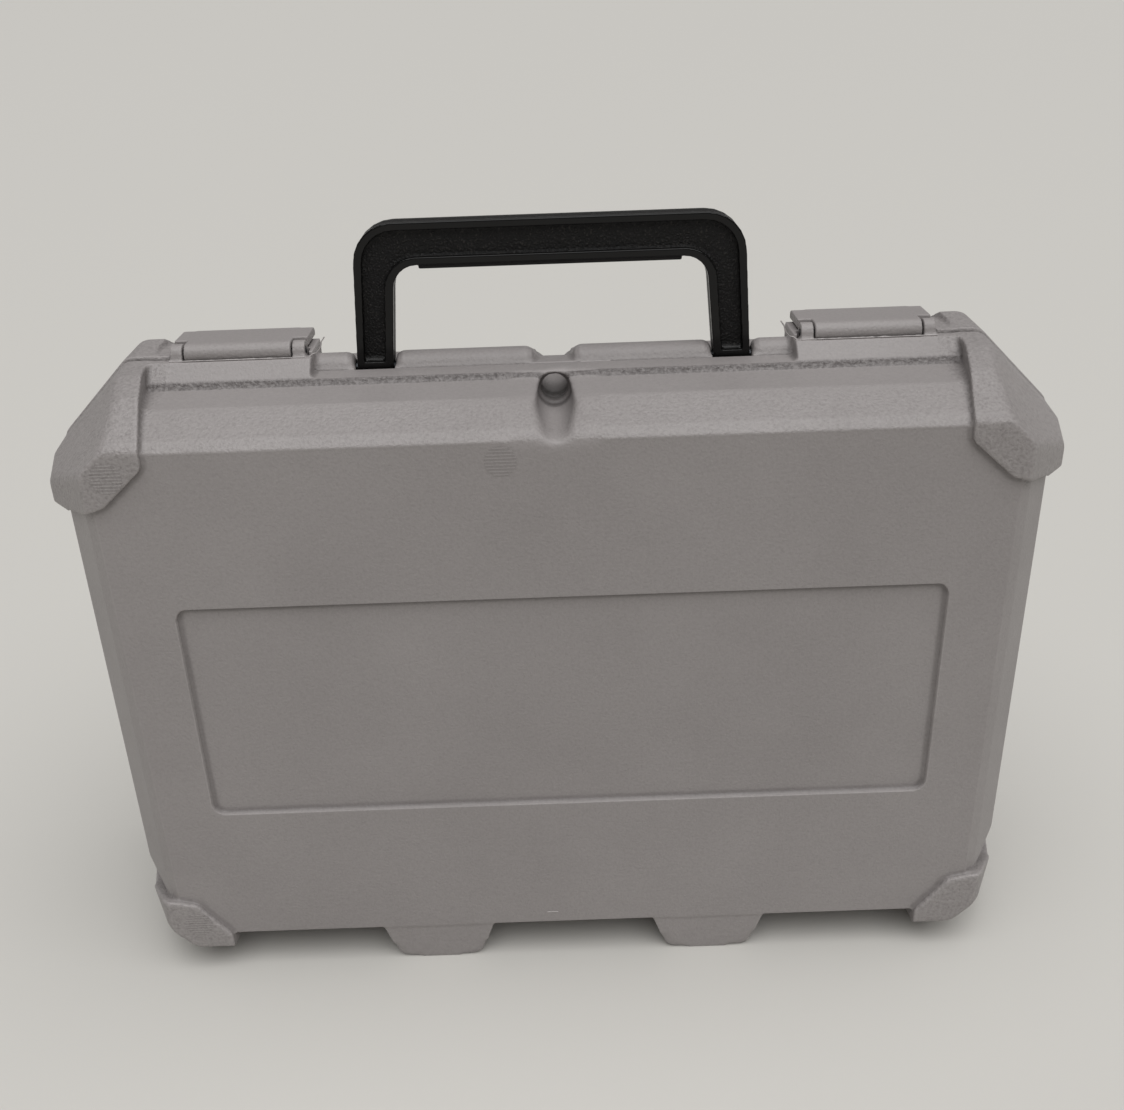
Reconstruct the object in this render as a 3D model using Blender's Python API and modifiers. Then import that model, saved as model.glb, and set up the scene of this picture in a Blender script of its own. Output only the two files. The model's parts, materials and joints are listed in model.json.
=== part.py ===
"""Blow-moulded carrying case for a rotary tool: two double-depth shells on pinned hinges,
two snap latches and a swing handle. Metres, +Z up, the case standing on its hinge edge.
X runs along the case, Y from the front shell (negative) to the rear shell (positive)."""

import math

import bmesh
import bpy
from mathutils import Vector

# Overall body
BODY_HALF_WIDTH = 0.1635
BODY_BOTTOM = 0.0130
BODY_TOP = 0.2185
SHELL_DEPTH = 0.0450
SEAM_HALF_GAP = 0.0002
BODY_CHAMFER = 0.0240
EDGE_RADIUS = 0.0060
EDGE_STEPS = 3

# Wall profile, from the seam out to the flat face
RIM_DEPTH = 0.0095
RIM_STEP = 0.0020
RIM_STEP_RUN = 0.0010
SHOULDER_DEPTH = 0.0280
SHOULDER_SIDE_INSET = 0.0036
SHOULDER_TOP_INSET = 0.0025
FACE_SIDE_INSET = 0.0165
FACE_TOP_INSET = 0.0095
FACE_BOTTOM_INSET = 0.0010
FACE_CHAMFER = 0.0110
CREASE_ROUND = 0.0030

# Corner bumpers: how far they stand proud of the body, and the corner each one covers
BUMPER_PROUD_SIDE = 0.0055
BUMPER_PROUD_TOP = 0.0060
BUMPER_PROUD_REAR_TOP = 0.0095
BUMPER_PROUD_SHOULDER = 0.0042
BUMPER_SHOULDER_SIDE = 0.0046
BUMPER_PROUD_FACE = 0.0022
BUMPER_WIDTH = 0.0362
BUMPER_HEIGHT = 0.0330
BUMPER_NOTCH = 0.0140
BUMPER_SPLAY = 0.0065
BUMPER_CHAMFER = 0.0260
LOWER_BUMPER_PROUD_SIDE = 0.0025
LOWER_BUMPER_SHOULDER_SIDE = 0.0010
LOWER_BUMPER_FACE_SPREAD = 0.0045
LOWER_BUMPER_PROUD_FOOT = 0.0060
LOWER_BUMPER_HEIGHT = 0.0195
LOWER_BUMPER_DIP = 0.0085
LOWER_BUMPER_CHAMFER = 0.0150
BUMPER_FACE_CHAMFER = 0.0075
BUMPER_OUTLINE_RADIUS = 0.0040
BUMPER_SOFT_EDGE = 0.0010

# Recessed name panel, left bare
PANEL_WIDTH = 0.2524
PANEL_HEIGHT = 0.0825
PANEL_CENTRE_Z = 0.1117
PANEL_DEPTH = 0.0018
PANEL_CORNER = 0.0040

# Padlock eye
LOCK_Z = 0.2110
LOCK_RADIUS = 0.0044
LOCK_WEB = 0.0040
SCOOP_RADIUS = 0.0058
SCOOP_RISE = 0.0045

# Pockets inside: centre x, centre z, width, height, depth from the seam
REAR_POCKETS = {
    "tool": (-0.0250, 0.1560, 0.2160, 0.0620, 0.0380),
    "collet": (0.1145, 0.1560, 0.0430, 0.0620, 0.0300),
    "accessory": (-0.0765, 0.0710, 0.1130, 0.0880, 0.0380),
    "shaft": (0.0565, 0.0710, 0.1330, 0.0880, 0.0380),
}
FRONT_POCKETS = {
    "lid_tool": (-0.0250, 0.1560, 0.2160, 0.0620, 0.0300),
    "lid_collet": (0.1145, 0.1560, 0.0430, 0.0620, 0.0240),
    "lid_tray": (-0.0100, 0.0710, 0.2460, 0.0880, 0.0300),
}
POCKET_CORNER = 0.0120
POCKET_DRAFT = 0.0030
POCKET_STEPS = 3

# Hinge at the foot of the case
HINGE_Z = 0.0061
HINGE_X = 0.0506
HINGE_BARREL = 0.0058
HINGE_PIN_RADIUS = 0.0020
FRONT_LUG_ROOT = 0.0402
FRONT_LUG_TIP = 0.0310
LUG_SIDE_GAP = 0.0006
REAR_LUG_WIDTH = 0.0130
LUG_TIP_RADIUS = 0.0035
LUG_FACE_INSET = 0.0003
LUG_ROOT_EMBED = 0.0040

# Latches
LATCH_FROM_SIDE = 0.0589
LATCH_WIDTH = 0.0448
LATCH_AXIS_Y = 0.0010
LATCH_AXIS_Z = 0.2252
LATCH_BARREL = 0.0036
LATCH_PIN_RADIUS = 0.0010
LATCH_KNUCKLE = 0.0042
LATCH_PLATE = 0.0033
LATCH_SKIN = 0.0020
LATCH_EDGE = 0.0022
LATCH_SEAT_TOP = 0.2250
LATCH_FRONT_SEAT_TOP = 0.2240
LATCH_FRONT_SEAT_SLOPE = 0.0055
LATCH_SEAT_DEPTH = 0.0164
LATCH_SEAT_MARGIN = 0.0022
LATCH_OVERHANG = 0.0026
LATCH_WELL_GAP = 0.0004
LATCH_POST = 0.0055

# Swing handle
HANDLE_AXIS_Y = 0.0060
HANDLE_AXIS_Z = 0.2172
HANDLE_FROM_SIDE = 0.0973
HANDLE_LEAN = 0.0030
HANDLE_TOP = 0.2655
HANDLE_ARM = 0.0122
HANDLE_BAR = 0.0138
HANDLE_THICKNESS = 0.0080
HANDLE_OUTER_RADIUS = 0.0135
HANDLE_INNER_RADIUS = 0.0080
HANDLE_RIM = 0.0026
HANDLE_CHANNEL = 0.0024
HANDLE_EYE = 0.0042
HANDLE_PIN_RADIUS = 0.0016
HANDLE_PIN_REACH = 0.0133
HANDLE_SLOT_RUN = 0.0070
HANDLE_CHANNEL_FOOT = 0.0026
GRIP_DROP = 0.0014
BOSS_RADIUS = 0.0054
PAD_INNER_X = 0.0063
BOSS_END_ROUND = 0.0028

# Clearances
RUN_GAP = 0.0003
SIDE_GAP = 0.0005

# Mesh fineness
ROUND_SIDES = 24
PIN_SIDES = 16

# Places that follow from the sizes above
BUMPER_INNER_X = BODY_HALF_WIDTH - BUMPER_WIDTH
LATCH_X = BODY_HALF_WIDTH - LATCH_FROM_SIDE
LATCH_SEAT_INNER = LATCH_X - LATCH_WIDTH / 2 - LATCH_SEAT_MARGIN
LATCH_TOP = LATCH_AXIS_Z + LATCH_BARREL
HANDLE_HALF_FOOT = BODY_HALF_WIDTH - HANDLE_FROM_SIDE
HANDLE_HALF_TOP = HANDLE_HALF_FOOT - HANDLE_LEAN
GRIP_HALF_WIDTH = HANDLE_HALF_TOP - HANDLE_ARM - HANDLE_INNER_RADIUS
HINGE_AXIS = (0, HINGE_Z)
LATCH_AXIS = (LATCH_AXIS_Y, LATCH_AXIS_Z)
HANDLE_AXIS = (HANDLE_AXIS_Y, HANDLE_AXIS_Z)
HINGE_BORE = HINGE_PIN_RADIUS + RUN_GAP
LATCH_BORE = LATCH_PIN_RADIUS + RUN_GAP
HANDLE_BORE = HANDLE_PIN_RADIUS + RUN_GAP

FRONT, REAR = -1, 1
SIDES = {"left": -1, "right": 1}

GREY_PLASTIC = ((0.235, 0.225, 0.220, 1.0), 0.55, 0.0)
BLACK_PLASTIC = ((0.012, 0.012, 0.013, 1.0), 0.35, 0.0)
BRIGHT_STEEL = ((0.560, 0.570, 0.580, 1.0), 0.30, 1.0)


def clear_scene():
    for obj in list(bpy.data.objects):
        bpy.data.objects.remove(obj, do_unlink=True)


def new_collection(name):
    collection = bpy.data.collections.new(name)
    bpy.context.scene.collection.children.link(collection)
    return collection


def make_material(name, finish):
    colour, roughness, metallic = finish
    material = bpy.data.materials.new(name)
    material.use_nodes = True
    shader = material.node_tree.nodes["Principled BSDF"]
    shader.inputs["Base Color"].default_value = colour
    shader.inputs["Roughness"].default_value = roughness
    shader.inputs["Metallic"].default_value = metallic
    return material


clear_scene()
PARTS = new_collection("rotary_tool_case")
CUTTERS = new_collection("cutters")
MATERIALS = {
    "case_grey": make_material("case_grey", GREY_PLASTIC),
    "handle_black": make_material("handle_black", BLACK_PLASTIC),
    "pin_steel": make_material("pin_steel", BRIGHT_STEEL),
}


def as_object(name, mesh, material=None):
    """Links a mesh as a part when it has a material, and as a hidden cutter when it has none."""
    obj = bpy.data.objects.new(name, mesh)
    if material:
        PARTS.objects.link(obj)
        mesh.materials.append(MATERIALS[material])
    else:
        CUTTERS.objects.link(obj)
        obj.hide_render = True
        obj.display_type = "WIRE"
    return obj


def finish_mesh(shape, name):
    bmesh.ops.recalc_face_normals(shape, faces=shape.faces)
    mesh = bpy.data.meshes.new(name)
    shape.to_mesh(mesh)
    shape.free()
    return mesh


def rounded_outline(corners, radii, steps):
    """The closed polygon through corners (x, z), each corner turned into an arc of its radius."""
    points = []
    count = len(corners)
    for i, corner in enumerate(corners):
        here = Vector(corner)
        back = (Vector(corners[i - 1]) - here).normalized()
        ahead = (Vector(corners[(i + 1) % count]) - here).normalized()
        radius = radii[i]
        if radius <= 0:
            points.append(here)
            continue
        half = back.angle(ahead) / 2
        centre = here + (back + ahead).normalized() * (radius / math.sin(half))
        start = here + back * (radius / math.tan(half)) - centre
        end = here + ahead * (radius / math.tan(half)) - centre
        for k in range(steps + 1):
            swung = start.normalized().slerp(end.normalized(), k / steps)
            points.append(centre + swung * radius)
    return points


def octagon(half_width, bottom, top, chamfer):
    corners = [
        (half_width, bottom + chamfer),
        (half_width, top - chamfer),
        (half_width - chamfer, top),
        (chamfer - half_width, top),
        (-half_width, top - chamfer),
        (-half_width, bottom + chamfer),
        (chamfer - half_width, bottom),
        (half_width - chamfer, bottom),
    ]
    return rounded_outline(corners, [EDGE_RADIUS] * len(corners), EDGE_STEPS)


def rounded_box(centre_x, centre_z, width, height, radius, steps):
    x, z = width / 2, height / 2
    corners = [
        (centre_x + x, centre_z - z),
        (centre_x + x, centre_z + z),
        (centre_x - x, centre_z + z),
        (centre_x - x, centre_z - z),
    ]
    return rounded_outline(corners, [radius] * 4, steps)


def loft(name, rings, material=None):
    """A closed skin through rings of (y, outline), each outline having the same number of points."""
    shape = bmesh.new()
    loops = [[shape.verts.new((p.x, y, p.y)) for p in outline] for y, outline in rings]
    for near, far in zip(loops, loops[1:]):
        for i in range(len(near)):
            j = (i + 1) % len(near)
            shape.faces.new((near[i], near[j], far[j], far[i]))
    shape.faces.new(loops[0])
    shape.faces.new(loops[-1])
    return as_object(name, finish_mesh(shape, name), material)


def extrude_x(name, section, x_from, x_to, material=None):
    """A bar along X with the closed section (y, z)."""
    shape = bmesh.new()
    ends = [[shape.verts.new((x, p.x, p.y)) for p in section] for x in (x_from, x_to)]
    for i in range(len(section)):
        j = (i + 1) % len(section)
        shape.faces.new((ends[0][i], ends[0][j], ends[1][j], ends[1][i]))
    for end in ends:
        shape.faces.new(end)
    return as_object(name, finish_mesh(shape, name), material)


def hull(name, points):
    shape = bmesh.new()
    for point in points:
        shape.verts.new(point)
    result = bmesh.ops.convex_hull(shape, input=shape.verts)
    spare = [v for v in result["geom_interior"] if isinstance(v, bmesh.types.BMVert)]
    bmesh.ops.delete(shape, geom=spare, context="VERTS")
    return as_object(name, finish_mesh(shape, name))


def block(name, low, high, material=None):
    shape = bmesh.new()
    bmesh.ops.create_cube(shape, size=1)
    size = Vector(high) - Vector(low)
    bmesh.ops.scale(shape, vec=size, verts=shape.verts)
    bmesh.ops.translate(shape, vec=(Vector(low) + Vector(high)) / 2, verts=shape.verts)
    return as_object(name, finish_mesh(shape, name), material)


def rod_x(name, x_from, x_to, axis, radius, sides, material=None):
    """A round bar along X, on the axis (y, z)."""
    return rod(name, (x_from, *axis), (x_to, *axis), radius, sides, material)


def rod(name, start, end, radius, sides, material=None):
    """A round bar between two points."""
    shape = bmesh.new()
    along = Vector(end) - Vector(start)
    bmesh.ops.create_cone(
        shape, cap_ends=True, segments=sides, radius1=radius, radius2=radius, depth=along.length
    )
    matrix = Vector((0, 0, 1)).rotation_difference(along).to_matrix()
    bmesh.ops.rotate(shape, cent=(0, 0, 0), matrix=matrix, verts=shape.verts)
    bmesh.ops.translate(shape, vec=(Vector(start) + Vector(end)) / 2, verts=shape.verts)
    return as_object(name, finish_mesh(shape, name), material)


def boolean(target, operand, operation):
    modifier = target.modifiers.new(f"{operation.lower()}_{operand.name}", "BOOLEAN")
    modifier.operation = operation
    modifier.object = operand
    return modifier


def join(target, operand):
    return boolean(target, operand, "UNION")


def cut(target, operand):
    return boolean(target, operand, "DIFFERENCE")


def round_edges(obj, width, segments=2, angle=40):
    modifier = obj.modifiers.new("edge_round", "BEVEL")
    modifier.width = width
    modifier.segments = segments
    modifier.limit_method = "ANGLE"
    modifier.angle_limit = math.radians(angle)
    return modifier


def smooth(obj):
    obj.data.shade_smooth()
    obj.data.set_sharp_from_angle(angle=math.radians(35))


def shell_body(name, side):
    """The main tub of one shell: rim, step, two wall facets and the flat face."""
    overlap = RIM_DEPTH / 2
    crease_share = CREASE_ROUND / (SHELL_DEPTH - SHOULDER_DEPTH)

    def ring(depth, side_inset, bottom_inset, top_inset, chamfer):
        bottom, top = BODY_BOTTOM + bottom_inset, BODY_TOP - top_inset
        return side * depth, octagon(BODY_HALF_WIDTH - side_inset, bottom, top, chamfer)

    def between(a, b):
        return b + (a - b) * crease_share

    rings = [
        ring(-overlap, 0, 0, 0, BODY_CHAMFER),
        ring(RIM_DEPTH, 0, 0, 0, BODY_CHAMFER),
        ring(RIM_DEPTH + RIM_STEP_RUN, RIM_STEP, FACE_BOTTOM_INSET, RIM_STEP, BODY_CHAMFER),
        ring(SHOULDER_DEPTH, SHOULDER_SIDE_INSET, FACE_BOTTOM_INSET, SHOULDER_TOP_INSET, BODY_CHAMFER),
        ring(
            SHELL_DEPTH - CREASE_ROUND,
            between(SHOULDER_SIDE_INSET, FACE_SIDE_INSET),
            FACE_BOTTOM_INSET,
            between(SHOULDER_TOP_INSET, FACE_TOP_INSET),
            between(BODY_CHAMFER, FACE_CHAMFER),
        ),
        ring(
            SHELL_DEPTH,
            FACE_SIDE_INSET + CREASE_ROUND / 2,
            FACE_BOTTOM_INSET + CREASE_ROUND / 2,
            FACE_TOP_INSET + CREASE_ROUND / 2,
            FACE_CHAMFER,
        ),
    ]
    return loft(name, rings, "case_grey")


def bumper_skin(name, side, proud_side, shoulder_side, face_spread, proud_bottom, proud_top, chamfer):
    """The body's outside grown by the bumper's thickness; a corner of it becomes a bumper."""
    shoulder_top = min(proud_top, BUMPER_PROUD_SHOULDER)
    crest = RIM_DEPTH + EDGE_RADIUS

    def ring(depth, side_inset, bottom_inset, top_inset, cut_corner):
        outline = octagon(
            BODY_HALF_WIDTH - side_inset, BODY_BOTTOM + bottom_inset, BODY_TOP - top_inset, cut_corner
        )
        return side * depth, outline

    face_side = FACE_SIDE_INSET - face_spread
    face_top = FACE_TOP_INSET - BUMPER_PROUD_FACE
    face_chamfer = BUMPER_FACE_CHAMFER + EDGE_RADIUS / 2
    rings = [
        ring(-RIM_DEPTH / 2, -proud_side, -proud_bottom, -min(proud_top, BUMPER_PROUD_TOP), chamfer),
        ring(crest, RIM_STEP - proud_side, -proud_bottom, RIM_STEP / 2 - proud_top, chamfer),
        ring(
            SHOULDER_DEPTH,
            SHOULDER_SIDE_INSET - shoulder_side,
            -proud_bottom,
            SHOULDER_TOP_INSET - shoulder_top,
            chamfer,
        ),
        ring(SHELL_DEPTH, face_side, RIM_STEP - proud_bottom, face_top, face_chamfer),
        ring(
            SHELL_DEPTH + BUMPER_PROUD_FACE,
            face_side + BUMPER_PROUD_FACE,
            RIM_STEP * 2 - proud_bottom,
            face_top + BUMPER_PROUD_FACE,
            BUMPER_FACE_CHAMFER,
        ),
    ]
    return loft(name, rings)


def upper_bumper(label, side, hand):
    """The guard over an upper corner, reaching from the rim on to the flat face."""
    proud_top = BUMPER_PROUD_TOP if side == FRONT else BUMPER_PROUD_REAR_TOP
    skin = bumper_skin(
        f"upper_bumper_{label}",
        side,
        BUMPER_PROUD_SIDE,
        BUMPER_SHOULDER_SIDE,
        BUMPER_PROUD_FACE,
        0,
        proud_top,
        BUMPER_CHAMFER,
    )
    foot = BODY_TOP - BUMPER_HEIGHT
    beyond, above = BODY_HALF_WIDTH * 1.2, BODY_TOP * 1.2

    def corners(splay):
        inner = BUMPER_INNER_X + splay
        return [
            (inner, above),
            (inner, foot + BUMPER_NOTCH * 1.25),
            (inner + BUMPER_NOTCH, foot + BUMPER_NOTCH * 0.35),
            (BODY_HALF_WIDTH - EDGE_RADIUS, foot),
            (beyond, foot),
            (beyond, above),
        ]

    return corner_of(skin, corners(BUMPER_SPLAY), corners(0), RIM_DEPTH, side, hand)


def lower_bumper(label, side, hand):
    """The guard over a lower corner. Its foot stays above the hinge axis, so the shells can open flat."""
    skin = bumper_skin(
        f"lower_bumper_{label}",
        side,
        LOWER_BUMPER_PROUD_SIDE,
        LOWER_BUMPER_SHOULDER_SIDE,
        LOWER_BUMPER_FACE_SPREAD,
        LOWER_BUMPER_PROUD_FOOT,
        0,
        LOWER_BUMPER_CHAMFER,
    )
    beyond, below = BODY_HALF_WIDTH * 1.2, -BODY_BOTTOM

    def corners(dip):
        head = BODY_BOTTOM + LOWER_BUMPER_HEIGHT - dip
        return [
            (BUMPER_INNER_X, below),
            (BUMPER_INNER_X, BODY_BOTTOM + EDGE_RADIUS / 2),
            (BUMPER_INNER_X + BUMPER_NOTCH * 0.8, head - EDGE_RADIUS / 3),
            (BODY_HALF_WIDTH - FACE_SIDE_INSET, head),
            (beyond, head),
            (beyond, below),
        ]

    return corner_of(skin, corners(LOWER_BUMPER_DIP), corners(0), SHOULDER_DEPTH - EDGE_RADIUS / 2, side, hand)


def corner_of(skin, at_seam, at_face, turn_depth, side, hand):
    """Keeps the part of a bumper skin inside an outline (x, z) that changes from turn_depth to the face."""
    radii = [0] + [BUMPER_OUTLINE_RADIUS] * 3 + [0, 0]

    def ring(depth, corners):
        return side * depth, rounded_outline([(hand * x, z) for x, z in corners], radii, EDGE_STEPS)

    rings = [ring(-RIM_DEPTH, at_seam), ring(turn_depth, at_seam), ring(SHELL_DEPTH, at_face)]
    rings.append(ring(SHELL_DEPTH * 1.5, at_face))
    boolean(skin, loft(f"{skin.name}_keep", rings), "INTERSECT")
    round_edges(skin, BUMPER_SOFT_EDGE, 2, 35)
    return skin


def latch_seat(label, side, hand):
    """The raised top edge that carries a latch: the hinge side in front, the flap's rest behind."""
    inner, outer = LATCH_SEAT_INNER, BUMPER_INNER_X + BUMPER_SPLAY + EDGE_RADIUS
    low = BODY_TOP - EDGE_RADIUS
    if side == FRONT:
        top, crest, end = LATCH_FRONT_SEAT_TOP, RIM_DEPTH - LATCH_FRONT_SEAT_SLOPE, RIM_DEPTH
    else:
        top, crest, end = LATCH_SEAT_TOP, LATCH_SEAT_DEPTH, LATCH_SEAT_DEPTH
    start = -RIM_DEPTH / 2
    plan = [(start, top), (crest, top), (end, BODY_TOP), (end, low), (start, low)]
    points = [(hand * x, side * d, z) for x in (inner, outer) for d, z in plan]
    return hull(f"latch_seat_{label}", points)


def pocket(label, side, sizes):
    """One moulded recess on the inside, with rounded corners and draft."""
    centre_x, centre_z, width, height, depth = sizes

    def outline(inset):
        size = (width - 2 * inset, height - 2 * inset)
        return rounded_box(centre_x, centre_z, *size, POCKET_CORNER - inset / 2, POCKET_STEPS)

    rings = [
        (side * -RIM_DEPTH, outline(0)),
        (side * (SEAM_HALF_GAP + RUN_GAP), outline(0)),
        (side * (depth - POCKET_DRAFT), outline(POCKET_DRAFT * 0.6)),
        (side * depth, outline(POCKET_DRAFT * 1.5)),
    ]
    return loft(f"pocket_{label}", rings)


def lock_eye(label, shell, side):
    """The padlock hole through both rims, with the scooped groove that leads to it."""
    web = side * (LOCK_WEB + SEAM_HALF_GAP)
    far = side * (SHELL_DEPTH + RIM_DEPTH)
    rise = SCOOP_RISE * (SHELL_DEPTH + RIM_DEPTH - LOCK_WEB) / (SHELL_DEPTH - LOCK_WEB)
    scoop = rod(f"lock_scoop_{label}", (0, web, LOCK_Z), (0, far, LOCK_Z + rise), SCOOP_RADIUS, ROUND_SIDES)
    hole = rod(f"lock_hole_{label}", (0, -far, LOCK_Z), (0, far, LOCK_Z), LOCK_RADIUS, ROUND_SIDES)
    cut(shell, scoop)
    cut(shell, hole)


def trim_seam(label, shell, side):
    """Cuts the joined shell flat at the seam."""
    reach = BODY_HALF_WIDTH * 2
    near, far = -side * SEAM_HALF_GAP, -side * RIM_DEPTH * 3
    low = (-reach, min(-near, far), -reach)
    high = (reach, max(-near, far), BODY_TOP + reach)
    cut(shell, block(f"seam_cut_{label}", low, high))


def front_lug(label, hand):
    """The broad hinge lug that shows below the front face."""
    lean = (FRONT_LUG_ROOT - FRONT_LUG_TIP) / 2
    root, tip = FRONT_LUG_ROOT / 2 + lean * 0.3, FRONT_LUG_TIP / 2
    centre = hand * HINGE_X
    foot = HINGE_Z - HINGE_BARREL - LUG_FACE_INSET
    top = BODY_BOTTOM + LUG_ROOT_EMBED
    corners = [(centre + root, top), (centre - root, top), (centre - tip, foot), (centre + tip, foot)]
    outline = rounded_outline(corners, [0, 0, LUG_TIP_RADIUS, LUG_TIP_RADIUS], EDGE_STEPS)
    near, far = -HINGE_BARREL / 2, -(SHELL_DEPTH - LUG_FACE_INSET)
    return loft(f"front_lug_{label}", [(near, outline), (far, outline)])


def rear_lug(label, x_from, x_to):
    """A narrow hinge lug of the rear shell, beside a front one."""
    foot = HINGE_Z - HINGE_BARREL - LUG_FACE_INSET
    centre, width = (x_from + x_to) / 2, abs(x_to - x_from)
    top = BODY_BOTTOM + LUG_ROOT_EMBED
    x = width / 2
    corners = [(centre + x, top), (centre - x, top), (centre - x, foot), (centre + x, foot)]
    outline = rounded_outline(corners, [0, 0, LUG_TIP_RADIUS / 2, LUG_TIP_RADIUS / 2], EDGE_STEPS)
    near, far = HINGE_BARREL / 2, SHELL_DEPTH - LUG_FACE_INSET
    return loft(f"rear_lug_{label}", [(near, outline), (far, outline)])


def hinge_spans(hand):
    """X ranges of one hinge: the front barrel, then the two rear lugs beside it."""
    half = FRONT_LUG_ROOT / 2
    centre = hand * HINGE_X
    front = (centre - half, centre + half)
    left = (front[0] - LUG_SIDE_GAP - REAR_LUG_WIDTH, front[0] - LUG_SIDE_GAP)
    right = (front[1] + LUG_SIDE_GAP, front[1] + LUG_SIDE_GAP + REAR_LUG_WIDTH)
    return front, left, right


def hinge_relief(label, shell, side, span):
    """Clears the other shell's barrel out of this shell's edge."""
    radius = HINGE_BARREL + SIDE_GAP
    low = min(span) - SIDE_GAP
    high = max(span) + SIDE_GAP
    cut(shell, rod_x(f"hinge_relief_{label}", low, high, HINGE_AXIS, radius, ROUND_SIDES))


def latch_spans(hand):
    """X ranges of one latch: the whole width, the front shell's two knuckles and the latch's own barrel."""
    low, high = hand * LATCH_X - LATCH_WIDTH / 2, hand * LATCH_X + LATCH_WIDTH / 2
    knuckles = ((low, low + LATCH_KNUCKLE), (high - LATCH_KNUCKLE, high))
    barrel = (low + LATCH_KNUCKLE + SIDE_GAP, high - LATCH_KNUCKLE - SIDE_GAP)
    return (low, high), knuckles, barrel


def latch_well(label, shell, whole, depth):
    """The trough across the seam that the latch's barrel and the knuckles lie in."""
    reach = LATCH_BARREL + LATCH_WELL_GAP
    floor = LATCH_AXIS_Z - depth - LATCH_WELL_GAP
    low = (whole[0] - SIDE_GAP, LATCH_AXIS_Y - reach, floor)
    high = (whole[1] + SIDE_GAP, LATCH_AXIS_Y + LATCH_BARREL + SIDE_GAP, LATCH_TOP + RIM_DEPTH)
    cut(shell, block(f"latch_well_{label}", low, high))


def knuckle_post(label, span):
    """A front shell knuckle: a barrel on a short post, round the latch pin."""
    low, high = span
    foot = LATCH_AXIS_Z - LATCH_POST
    points = []
    for x in (low, high):
        for k in range(ROUND_SIDES):
            turn = 2 * math.pi * k / ROUND_SIDES
            y, z = LATCH_BARREL * math.cos(turn), LATCH_BARREL * math.sin(turn)
            points.append((x, LATCH_AXIS_Y + y, LATCH_AXIS_Z + z))
        points.append((x, -SEAM_HALF_GAP - LATCH_BARREL, foot))
        points.append((x, -SEAM_HALF_GAP - RUN_GAP, foot))
    return hull(f"knuckle_{label}", points)


def build_front_shell():
    shell = shell_body("front_shell", FRONT)
    for label, hand in SIDES.items():
        join(shell, upper_bumper(f"front_{label}", FRONT, hand))
        join(shell, lower_bumper(f"front_{label}", FRONT, hand))
        join(shell, latch_seat(f"front_{label}", FRONT, hand))
    trim_seam("front", shell, FRONT)
    for label, hand in SIDES.items():
        front, left, right = hinge_spans(hand)
        join(shell, front_lug(label, hand))
        join(shell, rod_x(f"front_barrel_{label}", *front, HINGE_AXIS, HINGE_BARREL, ROUND_SIDES))
        for k, span in enumerate((left, right)):
            hinge_relief(f"front_{label}_{k}", shell, FRONT, span)
        inner = (front[0] if hand > 0 else front[1]) - hand * SIDE_GAP
        reach = hand * (HINGE_X + FRONT_LUG_ROOT)
        cut(shell, rod_x(f"hinge_bore_{label}", inner, reach, HINGE_AXIS, HINGE_BORE, PIN_SIDES))
        whole, knuckles, _ = latch_spans(hand)
        latch_well(f"front_{label}", shell, whole, LATCH_BARREL)
        for k, span in enumerate(knuckles):
            join(shell, knuckle_post(f"{label}_{k}", span))
        bore_end = hand * (LATCH_X + LATCH_WIDTH / 2) - hand * SIDE_GAP
        bore_start = hand * (LATCH_X - LATCH_WIDTH)
        cut(shell, rod_x(f"latch_bore_{label}", bore_start, bore_end, LATCH_AXIS, LATCH_BORE, PIN_SIDES))
    for label, sizes in FRONT_POCKETS.items():
        cut(shell, pocket(label, FRONT, sizes))
    outline = rounded_box(0, PANEL_CENTRE_Z, PANEL_WIDTH, PANEL_HEIGHT, PANEL_CORNER, EDGE_STEPS)
    floor = -(SHELL_DEPTH - PANEL_DEPTH)
    cut(shell, loft("name_panel", [(floor, outline), (-SHELL_DEPTH - RIM_DEPTH, outline)]))
    lock_eye("front", shell, FRONT)
    smooth(shell)
    return shell


def handle_bosses(shell):
    """Half-round bosses that carry the handle pins: a long pad inside each arm, a short bump outside."""
    arm_low = HANDLE_HALF_FOOT - HANDLE_ARM - SIDE_GAP
    arm_high = HANDLE_HALF_FOOT + SIDE_GAP
    for label, hand in SIDES.items():
        spans = {"pad": (PAD_INNER_X, arm_low), "bump": (arm_high, LATCH_SEAT_INNER + BOSS_END_ROUND)}
        for kind, (low, high) in spans.items():
            boss = rod_x(f"{kind}_{label}", hand * low, hand * high, HANDLE_AXIS, BOSS_RADIUS, ROUND_SIDES)
            round_edges(boss, BOSS_END_ROUND)
            join(shell, boss)
        near, far = sorted((hand * arm_low, hand * arm_high))
        notch_low = (near, -RIM_DEPTH, HANDLE_AXIS_Z - HANDLE_EYE - SIDE_GAP * 2)
        notch_high = (far, RIM_DEPTH + HANDLE_SLOT_RUN, HANDLE_TOP)
        cut(shell, block(f"arm_notch_{label}", notch_low, notch_high))
        reach = HANDLE_HALF_FOOT + HANDLE_PIN_REACH + SIDE_GAP + RIM_DEPTH
        bore = (hand * (arm_low - HANDLE_ARM), hand * reach)
        cut(shell, rod_x(f"handle_bore_{label}", *bore, HANDLE_AXIS, HANDLE_BORE, PIN_SIDES))


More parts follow.
